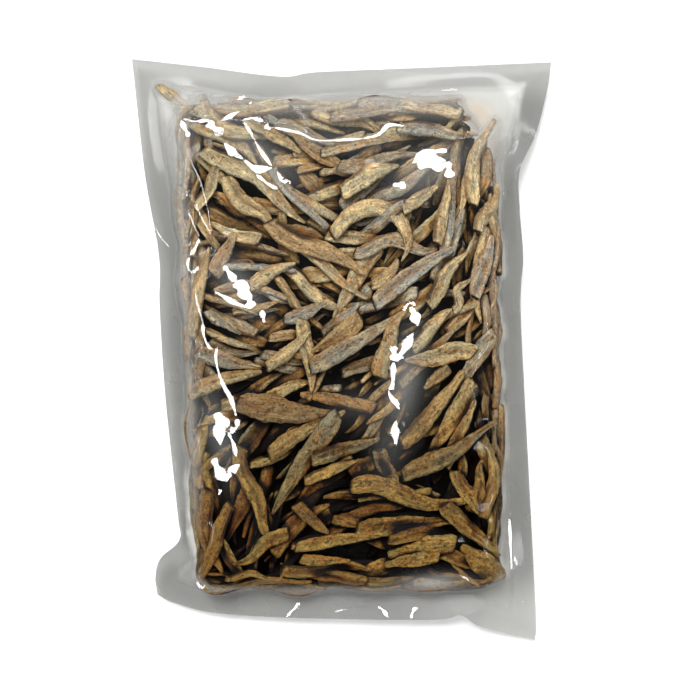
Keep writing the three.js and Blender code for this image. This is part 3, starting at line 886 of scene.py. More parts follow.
# Creases that catch the light: (half width in mm, pixels along it).
CREASES = [
    (0.9, (172, 107), (179, 116), (185, 132)),
    (1.3, (182, 122), (187, 132), (190, 138)),
    (0.4, (190, 142), (191, 160), (200, 180), (208, 210), (212, 236)),
    (0.8, (184, 120), (196, 122), (210, 121)),
    (1.1, (220, 122), (230, 117), (240, 112)),
    (0.8, (238, 101), (246, 100), (250, 104), (244, 106)),
    (2.2, (208, 123), (216, 130), (224, 136)),
    (1.8, (224, 142), (232, 152), (244, 160)),
    (1.7, (244, 160), (256, 169), (273, 168)),
    (0.8, (256, 174), (268, 184), (279, 190)),
    (0.9, (279, 190), (290, 183), (282, 180), (277, 171)),
    (0.9, (243, 121), (254, 119), (266, 123)),
    (1.3, (265, 126), (271, 130)),
    (0.8, (243, 121), (250, 132), (260, 150), (273, 168)),
    (0.7, (270, 128), (282, 130), (300, 134), (312, 139), (322, 141), (345, 140), (365, 139)),
    (1.0, (362, 139), (378, 135), (385, 128), (391, 125), (407, 127)),
    (0.5, (185, 200), (190, 192), (194, 198), (200, 214), (210, 232), (212, 236)),
    (0.5, (185, 200), (192, 220), (200, 238)),
    (0.8, (199, 238), (196, 247), (190, 256)),
    (0.6, (190, 255), (188, 266), (193, 276), (195, 284)),
    (0.8, (193, 273), (199, 267)),
    (0.5, (195, 284), (197, 300), (203, 322), (204, 335), (207, 345)),
    (1.6, (224, 266), (231, 275), (237, 283)),
    (3.0, (236, 281), (243, 289), (249, 299)),
    (2.2, (248, 295), (252, 308)),
    (1.1, (214, 291), (226, 298), (240, 305), (253, 309)),
    (1.2, (262, 309), (263, 316), (265, 323)),
    (1.9, (412, 165), (420, 157), (430, 153), (448, 151)),
    (3.6, (416, 162), (430, 163), (446, 165)),
    (2.2, (447, 162), (450, 179)),
    (1.6, (393, 186), (400, 185), (406, 188)),
    (0.7, (404, 312), (406, 306), (411, 303), (416, 306)),
    (2.4, (410, 307), (414, 314), (418, 326)),
    (1.9, (413, 332), (408, 342), (402, 352), (394, 362)),
    (2.2, (393, 346), (395, 361)),
    (1.2, (393, 360), (398, 358), (404, 357)),
    (1.3, (393, 361), (393, 376), (392, 386), (388, 390)),
    (1.1, (388, 390), (391, 397), (398, 406), (395, 414)),
    (1.8, (396, 420), (395, 430), (396, 445)),
    (0.4, (402, 420), (405, 428)),
    (0.7, (203, 322), (204, 335), (208, 345), (213, 350)),
    (0.9, (218, 345), (216, 356), (218, 370), (224, 386), (231, 398), (235, 410), (237, 420)),
    (1.4, (238, 418), (236, 428), (229, 431)),
    (0.3, (213, 360), (210, 380), (207, 396), (209, 416), (212, 442)),
    (2.4, (215, 412), (219, 422), (220, 434), (221, 446)),
    (1.6, (217, 413), (224, 419), (229, 428)),
    (0.9, (228, 431), (234, 444), (237, 457)),
    (2.3, (214, 457), (218, 468), (226, 481)),
    (1.7, (226, 482), (232, 471), (241, 463)),
    (0.8, (219, 495), (221, 489)),
    (0.45, (505, 127), (507, 112), (507, 100)),
    (0.45, (506, 127), (513, 115), (517, 100), (519, 94)),
    (0.4, (519, 94), (521, 88), (524, 88), (522, 93), (518, 96)),
    (0.4, (440, 92), (452, 90), (464, 90)),
    (0.5, (149, 213), (156, 229), (164, 241), (172, 249)),
    (0.45, (148, 223), (153, 234), (160, 246)),
    (0.5, (455, 572), (470, 580), (490, 587), (506, 591)),
    (0.6, (330, 612), (352, 607), (372, 607)),
    (1.0, (198, 580), (202, 585), (206, 581)),
    (0.8, (286, 617), (293, 610), (301, 602)),
    (0.9, (378, 606), (384, 611), (388, 617)),
    (0.8, (411, 618), (413, 610), (418, 607)),
    (0.6, (461, 577), (468, 583), (476, 589), (488, 589)),
    (0.7, (509, 515), (510, 540), (511, 560), (512, 580), (513, 598)),
    (0.5, (514, 557), (518, 566)),
    (0.3, (512, 603), (523, 602), (534, 601)),
]

# Painted reflections of a dim glare, laid on the film as milky patches: (milkiness, half length and half
# width in mm, degrees from +X, pixel at the middle).
GLARES = [
    (0.24, 20, 7, 80, (404, 380)),
    (0.08, 20, 8, 80, (392, 432)),
    (0.22, 18, 9, 30, (430, 168)),
    (0.2, 14, 7, -50, (238, 285)),
    (0.16, 20, 6, -75, (218, 430)),
    (0.2, 22, 7, -35, (255, 150)),
    (0.1, 30, 6, 0, (340, 140)),
    (0.05, 18, 8, 0, (370, 408)),
    (0.5, 13, 4, 4, (430, 584)),
]


def cut_edge_line(side, count):
    return smooth_curve(CUT_EDGE[side], count)


class EdgeMap:
    """The distance to the cut edge, and the height of its nearest point, all over the plan."""

    def __init__(self):
        self.xs = np.arange(-HALF_WIDE - 4, HALF_WIDE + 4, FILM_CELL)
        self.ys = np.arange(-HALF_LONG - 4, HALF_LONG + 4, FILM_CELL)
        x, y = np.meshgrid(self.xs, self.ys)
        edge = np.vstack([cut_edge_line(side, 300)[:-1] for side in CUT_EDGE])
        distance, height = np.empty(x.shape), np.empty(x.shape)
        for row in range(len(self.ys)):
            gap = (x[row][:, None] - edge[None, :, 0]) ** 2 + (y[row][:, None] - edge[None, :, 1]) ** 2
            nearest = gap.argmin(axis=1)
            distance[row] = np.sqrt(gap[np.arange(len(nearest)), nearest])
            height[row] = edge[nearest, 2]
        self.distance, self.height = distance, blur(height, 1)

    def at(self, x, y):
        return (sample(field, self.xs, self.ys, x, y) for field in (self.distance, self.height))


EDGE = EdgeMap()


def skirt_height(x, y):
    """The height of the sealed skirt, from the cut edge in to the fill's edge."""
    distance, height = EDGE.at(x, y)
    outside = np.maximum(0, -inside_fill(x, y))
    return mix(height, SEAM_HIGH, smoothstep(0, 1, distance / (distance + outside + 1e-6)))


def seal_share(x, y, distance):
    """1 in the heat-sealed band along the cut edge, and 0 inside it."""
    waist = SEAL_NARROWER * np.exp(-(((y - WAIST_AT) / WAIST_LONG) ** 2)) * (x > 0)
    return smoothstep(SEAL_WIDE - waist + SEAL_SOFT, SEAL_WIDE - waist - SEAL_SOFT, distance)


def seal_grey(x, y):
    """How light the milky seal is: lightest at the top, darkest at the right and the bottom, as painted shade
    and reflection.
    """
    beside = smoothstep(66, 86, x) * smoothstep(130, 114, y) * smoothstep(-100, 60, y)
    return mix(grey_round(SEAL_GREYS, x, y), SEAL_GREYS["right"], SIDE_DARKENS * beside)


def grey_round(greys, x, y):
    """The grey at (x, y), from those at the pouch's four sides and in its bottom right corner."""
    across = mix(greys["left"], greys["right"], smoothstep(-60, 60, x))
    grey = mix(mix(across, greys["bottom"], smoothstep(-70, -118, y)), greys["top"], smoothstep(60, 132, y))
    return mix(grey, greys["corner"], smoothstep(20, 95, x) * smoothstep(-100, -126, y))


def lamp_place(azimuth, aside=0.0):
    """Where a lamp stands, or a point some metres aside of its middle, in mm."""
    a, t = math.radians(azimuth), math.radians(WINDOW_TILT)
    out = WINDOW_AWAY * math.sin(t)
    x, y = out * math.cos(a) - aside * math.sin(a), out * math.sin(a) + aside * math.cos(a)
    return 1000 * np.array([x, y, WINDOW_AWAY * math.cos(t)])


def mirror_slope(spots, facing):
    """How steep the film must be at each spot, facing a given way, to mirror a lamp to the camera."""
    asides = np.linspace(*WINDOW_SPOTS) * WINDOW_SIDES[1]
    lamps = np.array([lamp_place(azimuth, aside) for azimuth in WINDOW_AZIMUTHS for aside in asides])
    points = np.column_stack([spots, np.full(len(spots), FILL_THICK)])
    to_lamp = lamps[None] - points[:, None]
    to_camera = np.array([*CAMERA_OVER, CAMERA_AWAY + PHOTO_HIGH]) - points
    half = to_lamp / np.linalg.norm(to_lamp, axis=2)[..., None]
    half = half + (to_camera / np.linalg.norm(to_camera, axis=1)[:, None])[:, None]
    towards = (half[..., :2] * facing[:, None]).sum(axis=2)
    best = (towards / np.linalg.norm(half[..., :2], axis=2)).argmax(axis=1)
    rows = np.arange(len(spots))
    return towards[rows, best] / half[rows, best, 2]


def fold(line, half_wide, wave, film_at):
    """One fold of film along a line, as rows of five points across it, and how glossy each point is. It lies
    on the film, and faces the way that mirrors a lamp."""
    count = len(line)
    ahead = np.gradient(line, axis=0)
    ahead /= np.linalg.norm(ahead, axis=1)[:, None]
    facing = np.column_stack([-ahead[:, 1], ahead[:, 0]])
    if facing[:, 1].mean() < 0:
        facing = -facing
    slope = mirror_slope(line, facing)
    along = np.linspace(0, 1, count)
    ends = smoothstep(0, 0.2, along) * smoothstep(1, 0.8, along)
    half = half_wide * (0.3 + 0.5 * ends) * (0.85 + 0.35 * np.sin(along * 9 + wave))
    across = np.array(CREASE_ACROSS)[None, :] * half[:, None]
    x, y = (line[:, k : k + 1] + facing[:, k : k + 1] * across for k in range(2))
    need = (film_at(x, y) + slope[:, None] * across).max(axis=1)
    apart = np.subtract.outer(np.arange(count), np.arange(count)) * CREASE_STEP / 4
    weight = np.exp(-apart * apart / 2)
    smooth = weight @ need / weight.sum(axis=1)
    high = smooth + max(0.1, float(np.percentile(need - smooth, 80)))
    points = np.stack([x, y, high[:, None] - slope[:, None] * across], axis=-1).reshape(-1, 3)
    return points, (np.array([0, 1, 1, 1, 0])[None, :] * smoothstep(0, 0.3, ends)[:, None]).ravel()


def creases(film_at):
    """All the folds: their points, faces and gloss. A wide crease is several folds side by side."""
    points, faces, gloss = [], [], []
    start = 0
    for half_wide, *pixels in CREASES:
        places = [from_photo(px, py) for px, py in pixels]
        long = sum(math.dist(a, b) for a, b in zip(places, places[1:]))
        line = smooth_curve(places, max(8, int(long / CREASE_STEP)))
        ahead = np.gradient(line, axis=0)
        aside = np.column_stack([-ahead[:, 1], ahead[:, 0]]) / np.linalg.norm(ahead, axis=1)[:, None]
        pleats = max(1, round(half_wide / PLEAT))
        for pleat in range(pleats):
            offset = ((2 * pleat + 1) / pleats - 1) * PLEATS_SPREAD * half_wide
            half = half_wide / pleats * (PLEATS_OVERLAP if pleats > 1 else 1)
            part, shine = fold(line + aside * offset, half, 2.4 * pleat + 9 * half_wide, film_at)
            quads = grid_quads(len(line), len(CREASE_ACROSS)) + start
            a, b, c = (part[quads[0, k] - start] for k in range(3))
            if np.cross(b - a, c - a)[2] < 0:
                quads = quads[:, ::-1]
            points.append(part)
            faces.append(quads)
            gloss.append(shine * smoothstep(0.15, 0.85, half_wide))
            start += len(part)
    return np.vstack(points), faces, np.concatenate(gloss)


def glare_share(x, y):
    """How milky the painted glare reflections make the film at (x, y)."""
    total = np.zeros(np.shape(x))
    for milk, half_long, half_wide, degrees, pixel in GLARES:
        middle = from_photo(*pixel)
        c, s = math.cos(math.radians(degrees)), math.sin(math.radians(degrees))
        along = ((x - middle[0]) * c + (y - middle[1]) * s) / half_long
        across = ((y - middle[1]) * c - (x - middle[0]) * s) / half_wide
        total = np.maximum(total, milk * np.exp(-(along**2 + across**2)))
    return total


class FilmPlan:
    """The raster on which both sheets are stretched."""

    def __init__(self):
        self.xs, self.ys = EDGE.xs, EDGE.ys
        self.x, self.y = np.meshgrid(self.xs, self.ys)
        self.skirt = skirt_height(self.x, self.y)
        inside = inside_fill(self.x, self.y)
        self.sealed = (seal_share(self.x, self.y, EDGE.distance) > 0.5) & (inside < SEAL_REACH)
        self.sealed |= inside < -FAR_OUT

    def relief(self, pieces, face):
        """The highest point of the pieces in each cell, or with face -1 how far the lowest lies below 0."""
        field = np.full(self.x.shape, NOTHING)
        for piece in pieces:
            mesh = piece.data
            points = np.empty(len(mesh.vertices) * 3, dtype=np.float32)
            mesh.vertices.foreach_get("co", points)
            points = points.reshape(-1, 3).astype(float) * 1000
            mesh.calc_loop_triangles()
            corners = np.empty(len(mesh.loop_triangles) * 3, dtype=np.int32)
            mesh.loop_triangles.foreach_get("vertices", corners)
            a, b, c = (points[corners.reshape(-1, 3)[:, k]] for k in range(3))
            for s, t in READ_AT:
                x, y, z = (a + (b - a) * s + (c - a) * t).T
                np.maximum.at(field, nearest_cells(self.xs, self.ys, FILM_CELL, x, y), face * z)
        return field

    def stretch(self, under, skirt, pull):
        """A taut sheet over the field under, held at the skirt's height where it is sealed, and pulled down
        between what it touches."""
        start = np.where(self.sealed, skirt, np.maximum(under, skirt))
        sheet = blur(start, STRETCH_START)
        for coarse, rounds in STRETCH_ROUNDS:
            rows = np.arange(0, sheet.shape[0], coarse)
            cols = np.arange(0, sheet.shape[1], coarse)
            grown = grow(under, coarse // 2)[np.ix_(rows, cols)]
            held = self.sealed[np.ix_(rows, cols)]
            fixed = skirt[np.ix_(rows, cols)]
            z = sheet[np.ix_(rows, cols)]
            for _ in range(rounds):
                mean = (np.roll(z, 1, 0) + np.roll(z, -1, 0) + np.roll(z, 1, 1) + np.roll(z, -1, 1)) / 4
                z = np.where(held, fixed, np.maximum(grown, mean - pull * coarse * coarse / 4))
            sheet = sample(z, self.xs[cols], self.ys[rows], self.x, self.y) if coarse > 1 else z
        return np.maximum(blur(sheet, FILM_STIFF), skirt)


def film_values(s, x, y, face, sealed, fish, empty, steep):
    """What the film's finish reads at each point: how milky the film is, how light the milk and how warm its
    colour, and how glossy the film is. sealed, fish and empty are shares, and steep is the film's slope."""
    inside = inside_fill(x, y)
    # Painted reflection: a faint haze that grows toward the top, where the film mirrors the light.
    clear = s.film_haze * smoothstep(-60, 60, y)
    if face > 0:
        clear = clear + glare_share(x, y)
    slack = empty * np.where(bare(x, y), 1, smoothstep(5, 1, inside))

    # Along the left, top and bottom walls the film is milky over the fish too, and most of all at the top: a
    # painted haze for the reflection on the steep film.
    at_top = smoothstep(70, 100, y)
    hazy = np.maximum(smoothstep(20, -60, x), at_top) * smoothstep(-100, -40, y)
    hazy = WALL_HAZE * hazy * smoothstep(mix(9, 18, at_top), mix(0, -6, at_top), inside)
    hazy = hazy * mix(1, 1 - fish, smoothstep(-3, -8, inside))
    hazy = np.maximum(hazy, smoothstep(-100, -110, y) * smoothstep(5, 0, inside))
    slack = np.maximum(slack, hazy)

    grey = mix(grey_round(SLACK_GREYS, x, y), grey_round(WALL_GREYS, x, y), smoothstep(-1, 3, inside))
    grey = mix(s.glare_grey, grey, slack)
    warm = smoothstep(-40, 50, x) * mix(1, smoothstep(-4, 6, inside), at_top) * smoothstep(-105, -75, y)
    warm = np.maximum(warm, at_top * smoothstep(0, 6, inside))
    return {
        "milk": mix(mix(clear, s.slack_haze, slack), s.seal_haze, sealed),
        "grey": mix(grey, seal_grey(x, y), sealed),
        "gloss": mix(s.scuffed_gloss, STEEP_GLOSS, smoothstep(0.9, 1.5, steep)),
        "slack": slack * (1 - sealed) * warm,
    }


def stations(count_edge, count_middle, edge_share):
    """Shares from 0 to 1 that are closer together near both ends."""
    edge = np.linspace(0, edge_share, count_edge, endpoint=False)
    middle = np.linspace(edge_share, 1 - edge_share, count_middle, endpoint=False)
    return np.concatenate([edge, middle, 1 - edge[::-1]])


def film_grid(us, vs):
    """A grid of plan points that fills the cut edge's outline, and its faces, seen from above."""
    dense = np.linspace(0, 1, 1200)

    def side(name, shares, backwards):
        line = cut_edge_line(name, 1200)
        if backwards:
            line = line[::-1]
        return np.column_stack([np.interp(shares, dense, line[:, k]) for k in range(2)])

    top, bottom = side("top", us, False), side("bottom", us, True)
    left, right = side("left", vs, False), side("right", vs, True)
    u, v = us[None, :, None], vs[:, None, None]
    ruled = mix(bottom[None], top[None], v) + mix(left[:, None], right[:, None], u)
    corners = mix(mix(bottom[0], bottom[-1], u), mix(top[0], top[-1], u), v)
    grid = ruled - corners
    return grid[..., 0].ravel(), grid[..., 1].ravel(), grid_quads(len(vs), len(us))


# ---- Materials ----

WHITE = (1, 1, 1, 1)
BLACK = (0, 0, 0, 1)
FILM_CLEAR = (0.97, 0.97, 0.96, 1)  # what the clear film lets through
FILM_INDEX = 1.6  # how strongly the film bends light
SKIN_INDEX = 1.45
RELIEF_HIGH = 0.0008  # of the finest wrinkles, in m


def attribute(tree, label, output="Fac"):
    """A value that the mesh holds for each of its points."""
    return add_node(tree, "ShaderNodeAttribute", {"attribute_name": label}).outputs[output]


def noise(tree, place, scale, detail, rough=0.5):
    settings = {"Scale": scale, "Detail": detail, "Roughness": rough}
    return add_node(tree, "ShaderNodeTexNoise", settings, {"Vector": place}).outputs["Fac"]


def between(tree, factor, start, end):
    """A value that goes evenly from start to end as the factor goes from 0 to 1."""
    settings = {"To Min": start, "To Max": end}
    return add_node(tree, "ShaderNodeMapRange", settings, {"Value": factor}).outputs["Result"]


def ramp(tree, factor, low, high, start=0.0, end=1.0):
    """A value that goes smoothly from start to end as the factor goes from low to high."""
    limits = {"From Min": low, "From Max": high, "To Min": start, "To Max": end}
    settings = {"interpolation_type": "SMOOTHSTEP", **limits}
    return add_node(tree, "ShaderNodeMapRange", settings, {"Value": factor}).outputs["Result"]


def fed(tree, kind, settings, inputs):
    """A node whose inputs, by number, each take a value or another node's output."""
    links = {key: value for key, value in inputs.items() if isinstance(value, bpy.types.NodeSocket)}
    values = {key: value for key, value in inputs.items() if key not in links}
    return add_node(tree, kind, {**settings, **values}, links)


def blend(tree, factor, first, second, kind="MIX"):
    settings = {"data_type": "RGBA", "blend_type": kind}
    return fed(tree, "ShaderNodeMix", settings, {0: factor, 6: first, 7: second}).outputs[2]


def calculate(tree, operation, first, second):
    return fed(tree, "ShaderNodeMath", {"operation": operation}, {0: first, 1: second}).outputs[0]


def object_place(tree):
    return add_node(tree, "ShaderNodeTexCoord").outputs["Object"]


def darker(colour, share):
    return (*(channel * share for channel in colour[:3]), 1)


def matt(tree, colour, rough, specular, relief=None, strength=1.0, index=1.5):
    """A matt finish as the material's surface. relief is what stands proud on it, up to RELIEF_HIGH."""
    links = {"Base Color": colour, "Roughness": rough}
    if relief is not None:
        depth = {"Strength": strength, "Distance": RELIEF_HIGH}
        links["Normal"] = add_node(tree, "ShaderNodeBump", depth, {"Height": relief}).outputs["Normal"]
    settings = {"Specular IOR Level": specular, "IOR": index}
    shader = add_node(tree, "ShaderNodeBsdfPrincipled", settings, links)
    add_node(tree, "ShaderNodeOutputMaterial", None, {"Surface": shader.outputs[0]})


def sprat_skin_material(name, light, dark, s):
    """Dried fish skin: matt and leathery, folded lengthwise, golden where it is oily and grey where its
    silver has stayed, with brown in the folds that is partly painted shade, a painted highlight on its rims,
    and dark flesh in the cuts."""
    material, tree = new_material(name)
    place = attribute(tree, "skin", "Vector")
    tone, depth, sunk, rawness, lower_shade_and_rust, belly = (
        attribute(tree, label) for label in ("tone", "depth", "sunk", "raw", "lower_shade_and_rust", "belly")
    )

    def skin_noise(scale, detail, rough=0.55):
        stretched = add_node(tree, "ShaderNodeVectorMath", {"operation": "MULTIPLY", 1: scale}, {0: place})
        return noise(tree, stretched.outputs[0], 1.0, detail, rough)

    def plus(value, other, share):
        """value + share * other"""
        return calculate(tree, "ADD", value, calculate(tree, "MULTIPLY", other, share))

    wrinkles = skin_noise((0.16, 1.1, 1.1), 4, 0.6)  # about 0.9 mm apart and 6 mm long
    bands = skin_noise((0.06, 0.42, 0.42), 3)
    folds = calculate(tree, "ABSOLUTE", calculate(tree, "SUBTRACT", bands, 0.5), 0.0)  # 0 along thin lines
    patches = skin_noise((0.15, 0.26, 0.26), 3)  # where the silver has stayed
    rust = skin_noise((0.1, 0.24, 0.3), 2)
    grain = skin_noise((1.1, 1.3, 1.3), 4, 0.72)  # dried scales, drawn coarse enough to show
    blotches = skin_noise((0.3, 0.42, 0.42), 4, 0.62)
    specks = skin_noise((0.7, 0.9, 0.9), 3)

    # The colours laid over the light one: what says where, from which value of it to which the colour comes
    # in, how strong it is in the end, and the colour.
    coats = (
        (plus(patches, tone, 0.16), 0.48, 0.62, 1.0, dark),
        (plus(rust, lower_shade_and_rust, 0.06), 0.54, 0.66, 0.6, s.rust),
        (plus(belly, patches, 1.5), 0.9, 1.8, 0.6, s.rust),
        (plus(belly, patches, -1.5), -1.1, -1.8, 0.6, dark),
        (tone, 0.25, 0.0, 0.5, s.rust),
        # Painted shade, partly the skin's own brown: darker brown in the sunk valleys, the wrinkle grooves
        # and the fold lines.
        (sunk, 0.08, 0.5, 0.42, s.fold_stain_and_shade),
        (wrinkles, 0.44, 0.3, 0.2, s.fold_stain_and_shade),
        (folds, 0.02, 0.003, 0.3, s.fold_stain_and_shade),
        # Painted highlight: paler where the skin stands proud.
        (sunk, 0.1, -0.08, 0.12, s.rim_highlight),
        (plus(blotches, lower_shade_and_rust, 0.07), 0.56, 0.68, 0.7, s.raw),
        (specks, 0.6, 0.68, 0.75, s.raw),
        (rawness, 0.1, 1.0, 0.9, s.raw),
    )
    colour = light
    for where, low, high, share, coat in coats:
        colour = blend(tree, ramp(tree, where, low, high, 0.0, share), colour, coat)
    # What darkens the colour: the unevenness of the skin and its tone, and painted shade toward the pouch's
    # lower end and where the other fish would shade it.
    veils = (
        ramp(tree, grain, 0.36, 0.62, 0.66, 1.12),
        ramp(tree, blotches, 0.36, 0.6, 0.68, 1.08),
        ramp(tree, tone, 0.0, 1.0, 0.76, 1.02),
        blend(tree, lower_shade_and_rust, WHITE, s.lower_shade_and_rust),
        blend(tree, ramp(tree, depth, 0.2, 2.6), WHITE, s.shade),
        blend(tree, ramp(tree, depth, 1.6, 4.6), WHITE, s.gloom),
    )
    for veil in veils:
        colour = blend(tree, 1.0, colour, veil, "MULTIPLY")
    relief = plus(calculate(tree, "MULTIPLY", wrinkles, 0.45), grain, 0.75)
    relief = calculate(tree, "ADD", relief, ramp(tree, folds, 0.0, 0.05, 0.0, 0.4))
    matt(tree, colour, ramp(tree, wrinkles, 0.3, 0.7, 0.5, 0.8), 0.14, relief, index=SKIN_INDEX)
    return material


def dark_core_material(s):
    """The inside of the pack: broken fish and crumbs so deep that hardly any light comes back, painted
    near-black as shade.
    """
    material, tree = new_material("deep_packed_fish")
    crumbs = noise(tree, object_place(tree), 400.0, 5.0)
    tint = blend(tree, crumbs, darker(s.core, 0.4), s.core)
    matt(tree, tint, between(tree, crumbs, 0.8, 1.0), 0.1, crumbs, 0.8)
    return material


def film_material(s):
    """Clear laminate of nylon and polyethylene: glossy and see-through over the fish, and milky where heat
    has sealed its two sheets into one."""
    material, tree = new_material("clear_laminate_film")
    milk, grey, shine, slack = (attribute(tree, label) for label in ("milk", "grey", "gloss", "slack"))
    place = object_place(tree)
    cloud = noise(tree, place, 45.0, 5.0)
    scuff = noise(tree, place, 160.0, 3.0)
    amount = calculate(tree, "MULTIPLY", milk, between(tree, cloud, 0.75, 1.2))
    tint = blend(tree, grey, BLACK, blend(tree, slack, s.milk_colour, s.slack_colour))
    back = add_node(tree, "ShaderNodeNewGeometry").outputs["Backfacing"]
    index = between(tree, back, FILM_INDEX, 1 / FILM_INDEX)
    ripple = add_node(tree, "ShaderNodeBump", {"Strength": 0.15, "Distance": 0.0004}, {"Height": scuff})
    ripple = ripple.outputs["Normal"]
    gleam = add_node(tree, "ShaderNodeFresnel", None, {"IOR": index, "Normal": ripple})
    gleam = calculate(tree, "MULTIPLY", gleam.outputs[0], shine)
    clear = add_node(tree, "ShaderNodeBsdfTransparent", {"Color": FILM_CLEAR})
    white = add_node(tree, "ShaderNodeBsdfDiffuse", None, {"Color": tint})
    rough = between(tree, scuff, 0.05, 0.12)
    gloss = add_node(tree, "ShaderNodeBsdfGlossy", None, {"Roughness": rough, "Normal": ripple})
    body = add_node(tree, "ShaderNodeMixShader", None, {0: amount, 1: clear.outputs[0], 2: white.outputs[0]})
    skin = add_node(tree, "ShaderNodeMixShader", None, {0: gleam, 1: body.outputs[0], 2: gloss.outputs[0]})
    add_node(tree, "ShaderNodeOutputMaterial", None, {"Surface": skin.outputs[0]})
    return material


def paper_material(s):
    """The matt white paper that the pouch was laid on."""
    material, tree = new_material("matt_white_paper")
    fibres = noise(tree, object_place(tree), 300.0, 4.0)
    tint = blend(tree, fibres, darker(s.floor, 0.985), s.floor)
    matt(tree, tint, between(tree, fibres, 0.85, 0.95), 0.1)
    return material


# ---- Settings ----


class SpratSettings(bpy.types.PropertyGroup):
    """The dried fish."""

    seed: count_property("Seed", "Start of the random draws", 7)
    deep: FloatProperty(
        name="Depth", description="How deep the modelled sprats reach below the film",
        default=0.011, unit="LENGTH",
    )
    deep_count: count_property("Deep sprats", "Sprats in the lowest layer", 170)
    middle_count: count_property("Middle sprats", "Sprats just below the top", 200)
    upper_extra: count_property("Further sprats", "More in the fuller upper half", 100)
    under_count: count_property("Lower sprats", "Sprats on the lower sheet", 190)
    golden: colour_property("Golden", "Oily, golden skin", "#e0c48f")
    golden_dark: colour_property("Golden, dull", "Where golden skin has dulled", "#b5a885")
    grey: colour_property("Grey", "Silver skin dried to grey", "#c4b89b")
    grey_dark: colour_property("Grey, dark", "Blue-grey backs", "#97968c")
    rusty: colour_property("Rusty", "Oil that has turned to rust", "#cb9e68")
    # Wall: a paler skin for the sprats that stand on edge along the sides.
    wall: colour_property("Wall", "Skin rubbed pale on the pouch's sides", "#cdc3ab")
    rust: colour_property("Rust", "Oil that has browned in patches", "#b18450")
    # Painted highlight: the paler colour laid where the skin stands proud.
    rim_highlight: colour_property("Rim", "Where the skin stands proud and is rubbed pale", "#cfc09c")
    # Painted shade, partly the skin's own brown: the colour laid in the folds.
    fold_stain_and_shade: colour_property("Stain", "Brown in the folds", "#624424")
    raw: colour_property("Raw", "Dark dried flesh in cuts", "#2a150b")
    # Painted shade: the colour that darkens the fish toward the pouch's lower end.
    lower_shade_and_rust: colour_property("Oil", "What the oil at the pouch's lower end lets through", "#c9b67f")
    shade: colour_property("Shade", "What light is left just below the top", "#cdb080")
    gloom: colour_property("Gloom", "What light is left deep between the fish", "#23160a")
    # Painted shade: the near-black colour of the pack's inside.
    core: colour_property("Core", "What lies too deep to see", "#060402")


class FilmSettings(bpy.types.PropertyGroup):
    """The clear film."""

    film_haze: share_property("Film haze", "Milkiness of the clear film", 0.008)
    slack_haze: share_property("Slack haze", "Milkiness round the fish", 0.5)
    seal_haze: share_property("Seal haze", "Milkiness of the seal", 0.66)
    glare_grey: share_property("Glare", "Lightness of the milky film", 0.4)
    scuffed_gloss: share_property("Gloss", "Gloss of the scuffed film, away from its creases", 0.12)
    pull: share_property("Pull", "How much the film sags between sprats, per mm", 0.03)
    milk_colour: colour_property("Milk", "Colour of the milky seal", "#fdfdf8")
    slack_colour: colour_property("Slack milk", "Colour of the oily film next to the fish", "#f8e8d4")


class StageSettings(bpy.types.PropertyGroup):
    """The floor and the light."""

    floor: colour_property("Floor", "Colour of the paper", "#f2f2f1")
    key: FloatProperty(name="Key", description="Strength of the soft key light, in W/m2", default=5.2)
    window: FloatProperty(name="Windows", description="Power of each lamp that the film mirrors", default=5)
    sky: FloatProperty(name="Sky", description="Strength of the light from all round", default=0.6)


# ---- Operators ----


class SPRATS_OT_lay_upper(bpy.types.Operator):
    """Lay the sprats that show from above"""

    bl_idname = "sprats.lay_upper"
    bl_label = "Lay Upper Sprats"

    def execute(self, context):
        s = context.scene.sprat_settings
        heap = upper_heap(s)
        skins = {
            "golden": sprat_skin_material("dried_golden_skin", s.golden, s.golden_dark, s),
            "grey": sprat_skin_material("dried_grey_skin", s.grey, s.grey_dark, s),
            "rusty": sprat_skin_material("dried_rusty_skin", s.rusty, s.golden_dark, s),
        }
        deepest = s.deep_count * DEEP_SHARE
        first_shown = len(heap.sprats) - len(SHOWN_SPRATS)
        for kind, skin in skins.items():
            shown, below = [], []
            for order, sprat in enumerate(heap.sprats):
                if sprat.kind == kind and order >= first_shown:
                    shown.append((sprat, *SHOWN_MESH))
                elif sprat.kind == kind:
                    below.append((sprat, *(DEEP_MESH if order < deepest else BELOW_MESH)))
            sprat_piece(f"{kind}_sprats", shown, skin, heap.depth_at)
            sprat_piece(f"{kind}_sprats_below", below, skin, heap.depth_at)
        return {"FINISHED"}


class SPRATS_OT_line_walls(bpy.types.Operator):
    """Stand sprats against the pouch's sides"""

    bl_idname = "sprats.line_walls"
    bl_label = "Line Walls"

    def execute(self, context):
        s = context.scene.sprat_settings
        chosen = [(sprat, *WALL_MESH) for sprat in wall_sprats(s)]
        sprat_piece("wall_sprats", chosen, sprat_skin_material("dried_wall_skin", s.wall, s.grey_dark, s))
        return {"FINISHED"}


class SPRATS_OT_lay_lower(bpy.types.Operator):
    """Lay the sprats that show from below"""

    bl_idname = "sprats.lay_lower"
    bl_label = "Lay Lower Sprats"

    def execute(self, context):
        s = context.scene.sprat_settings
        heap = under_heap(s)
        chosen = [(sprat, *UNDER_MESH) for sprat in heap.sprats]
        skin = sprat_skin_material("dried_underside_skin", s.golden, s.grey_dark, s)
        sprat_piece("underside_sprats", chosen, skin, heap.depth_at, flip=True)
        return {"FINISHED"}


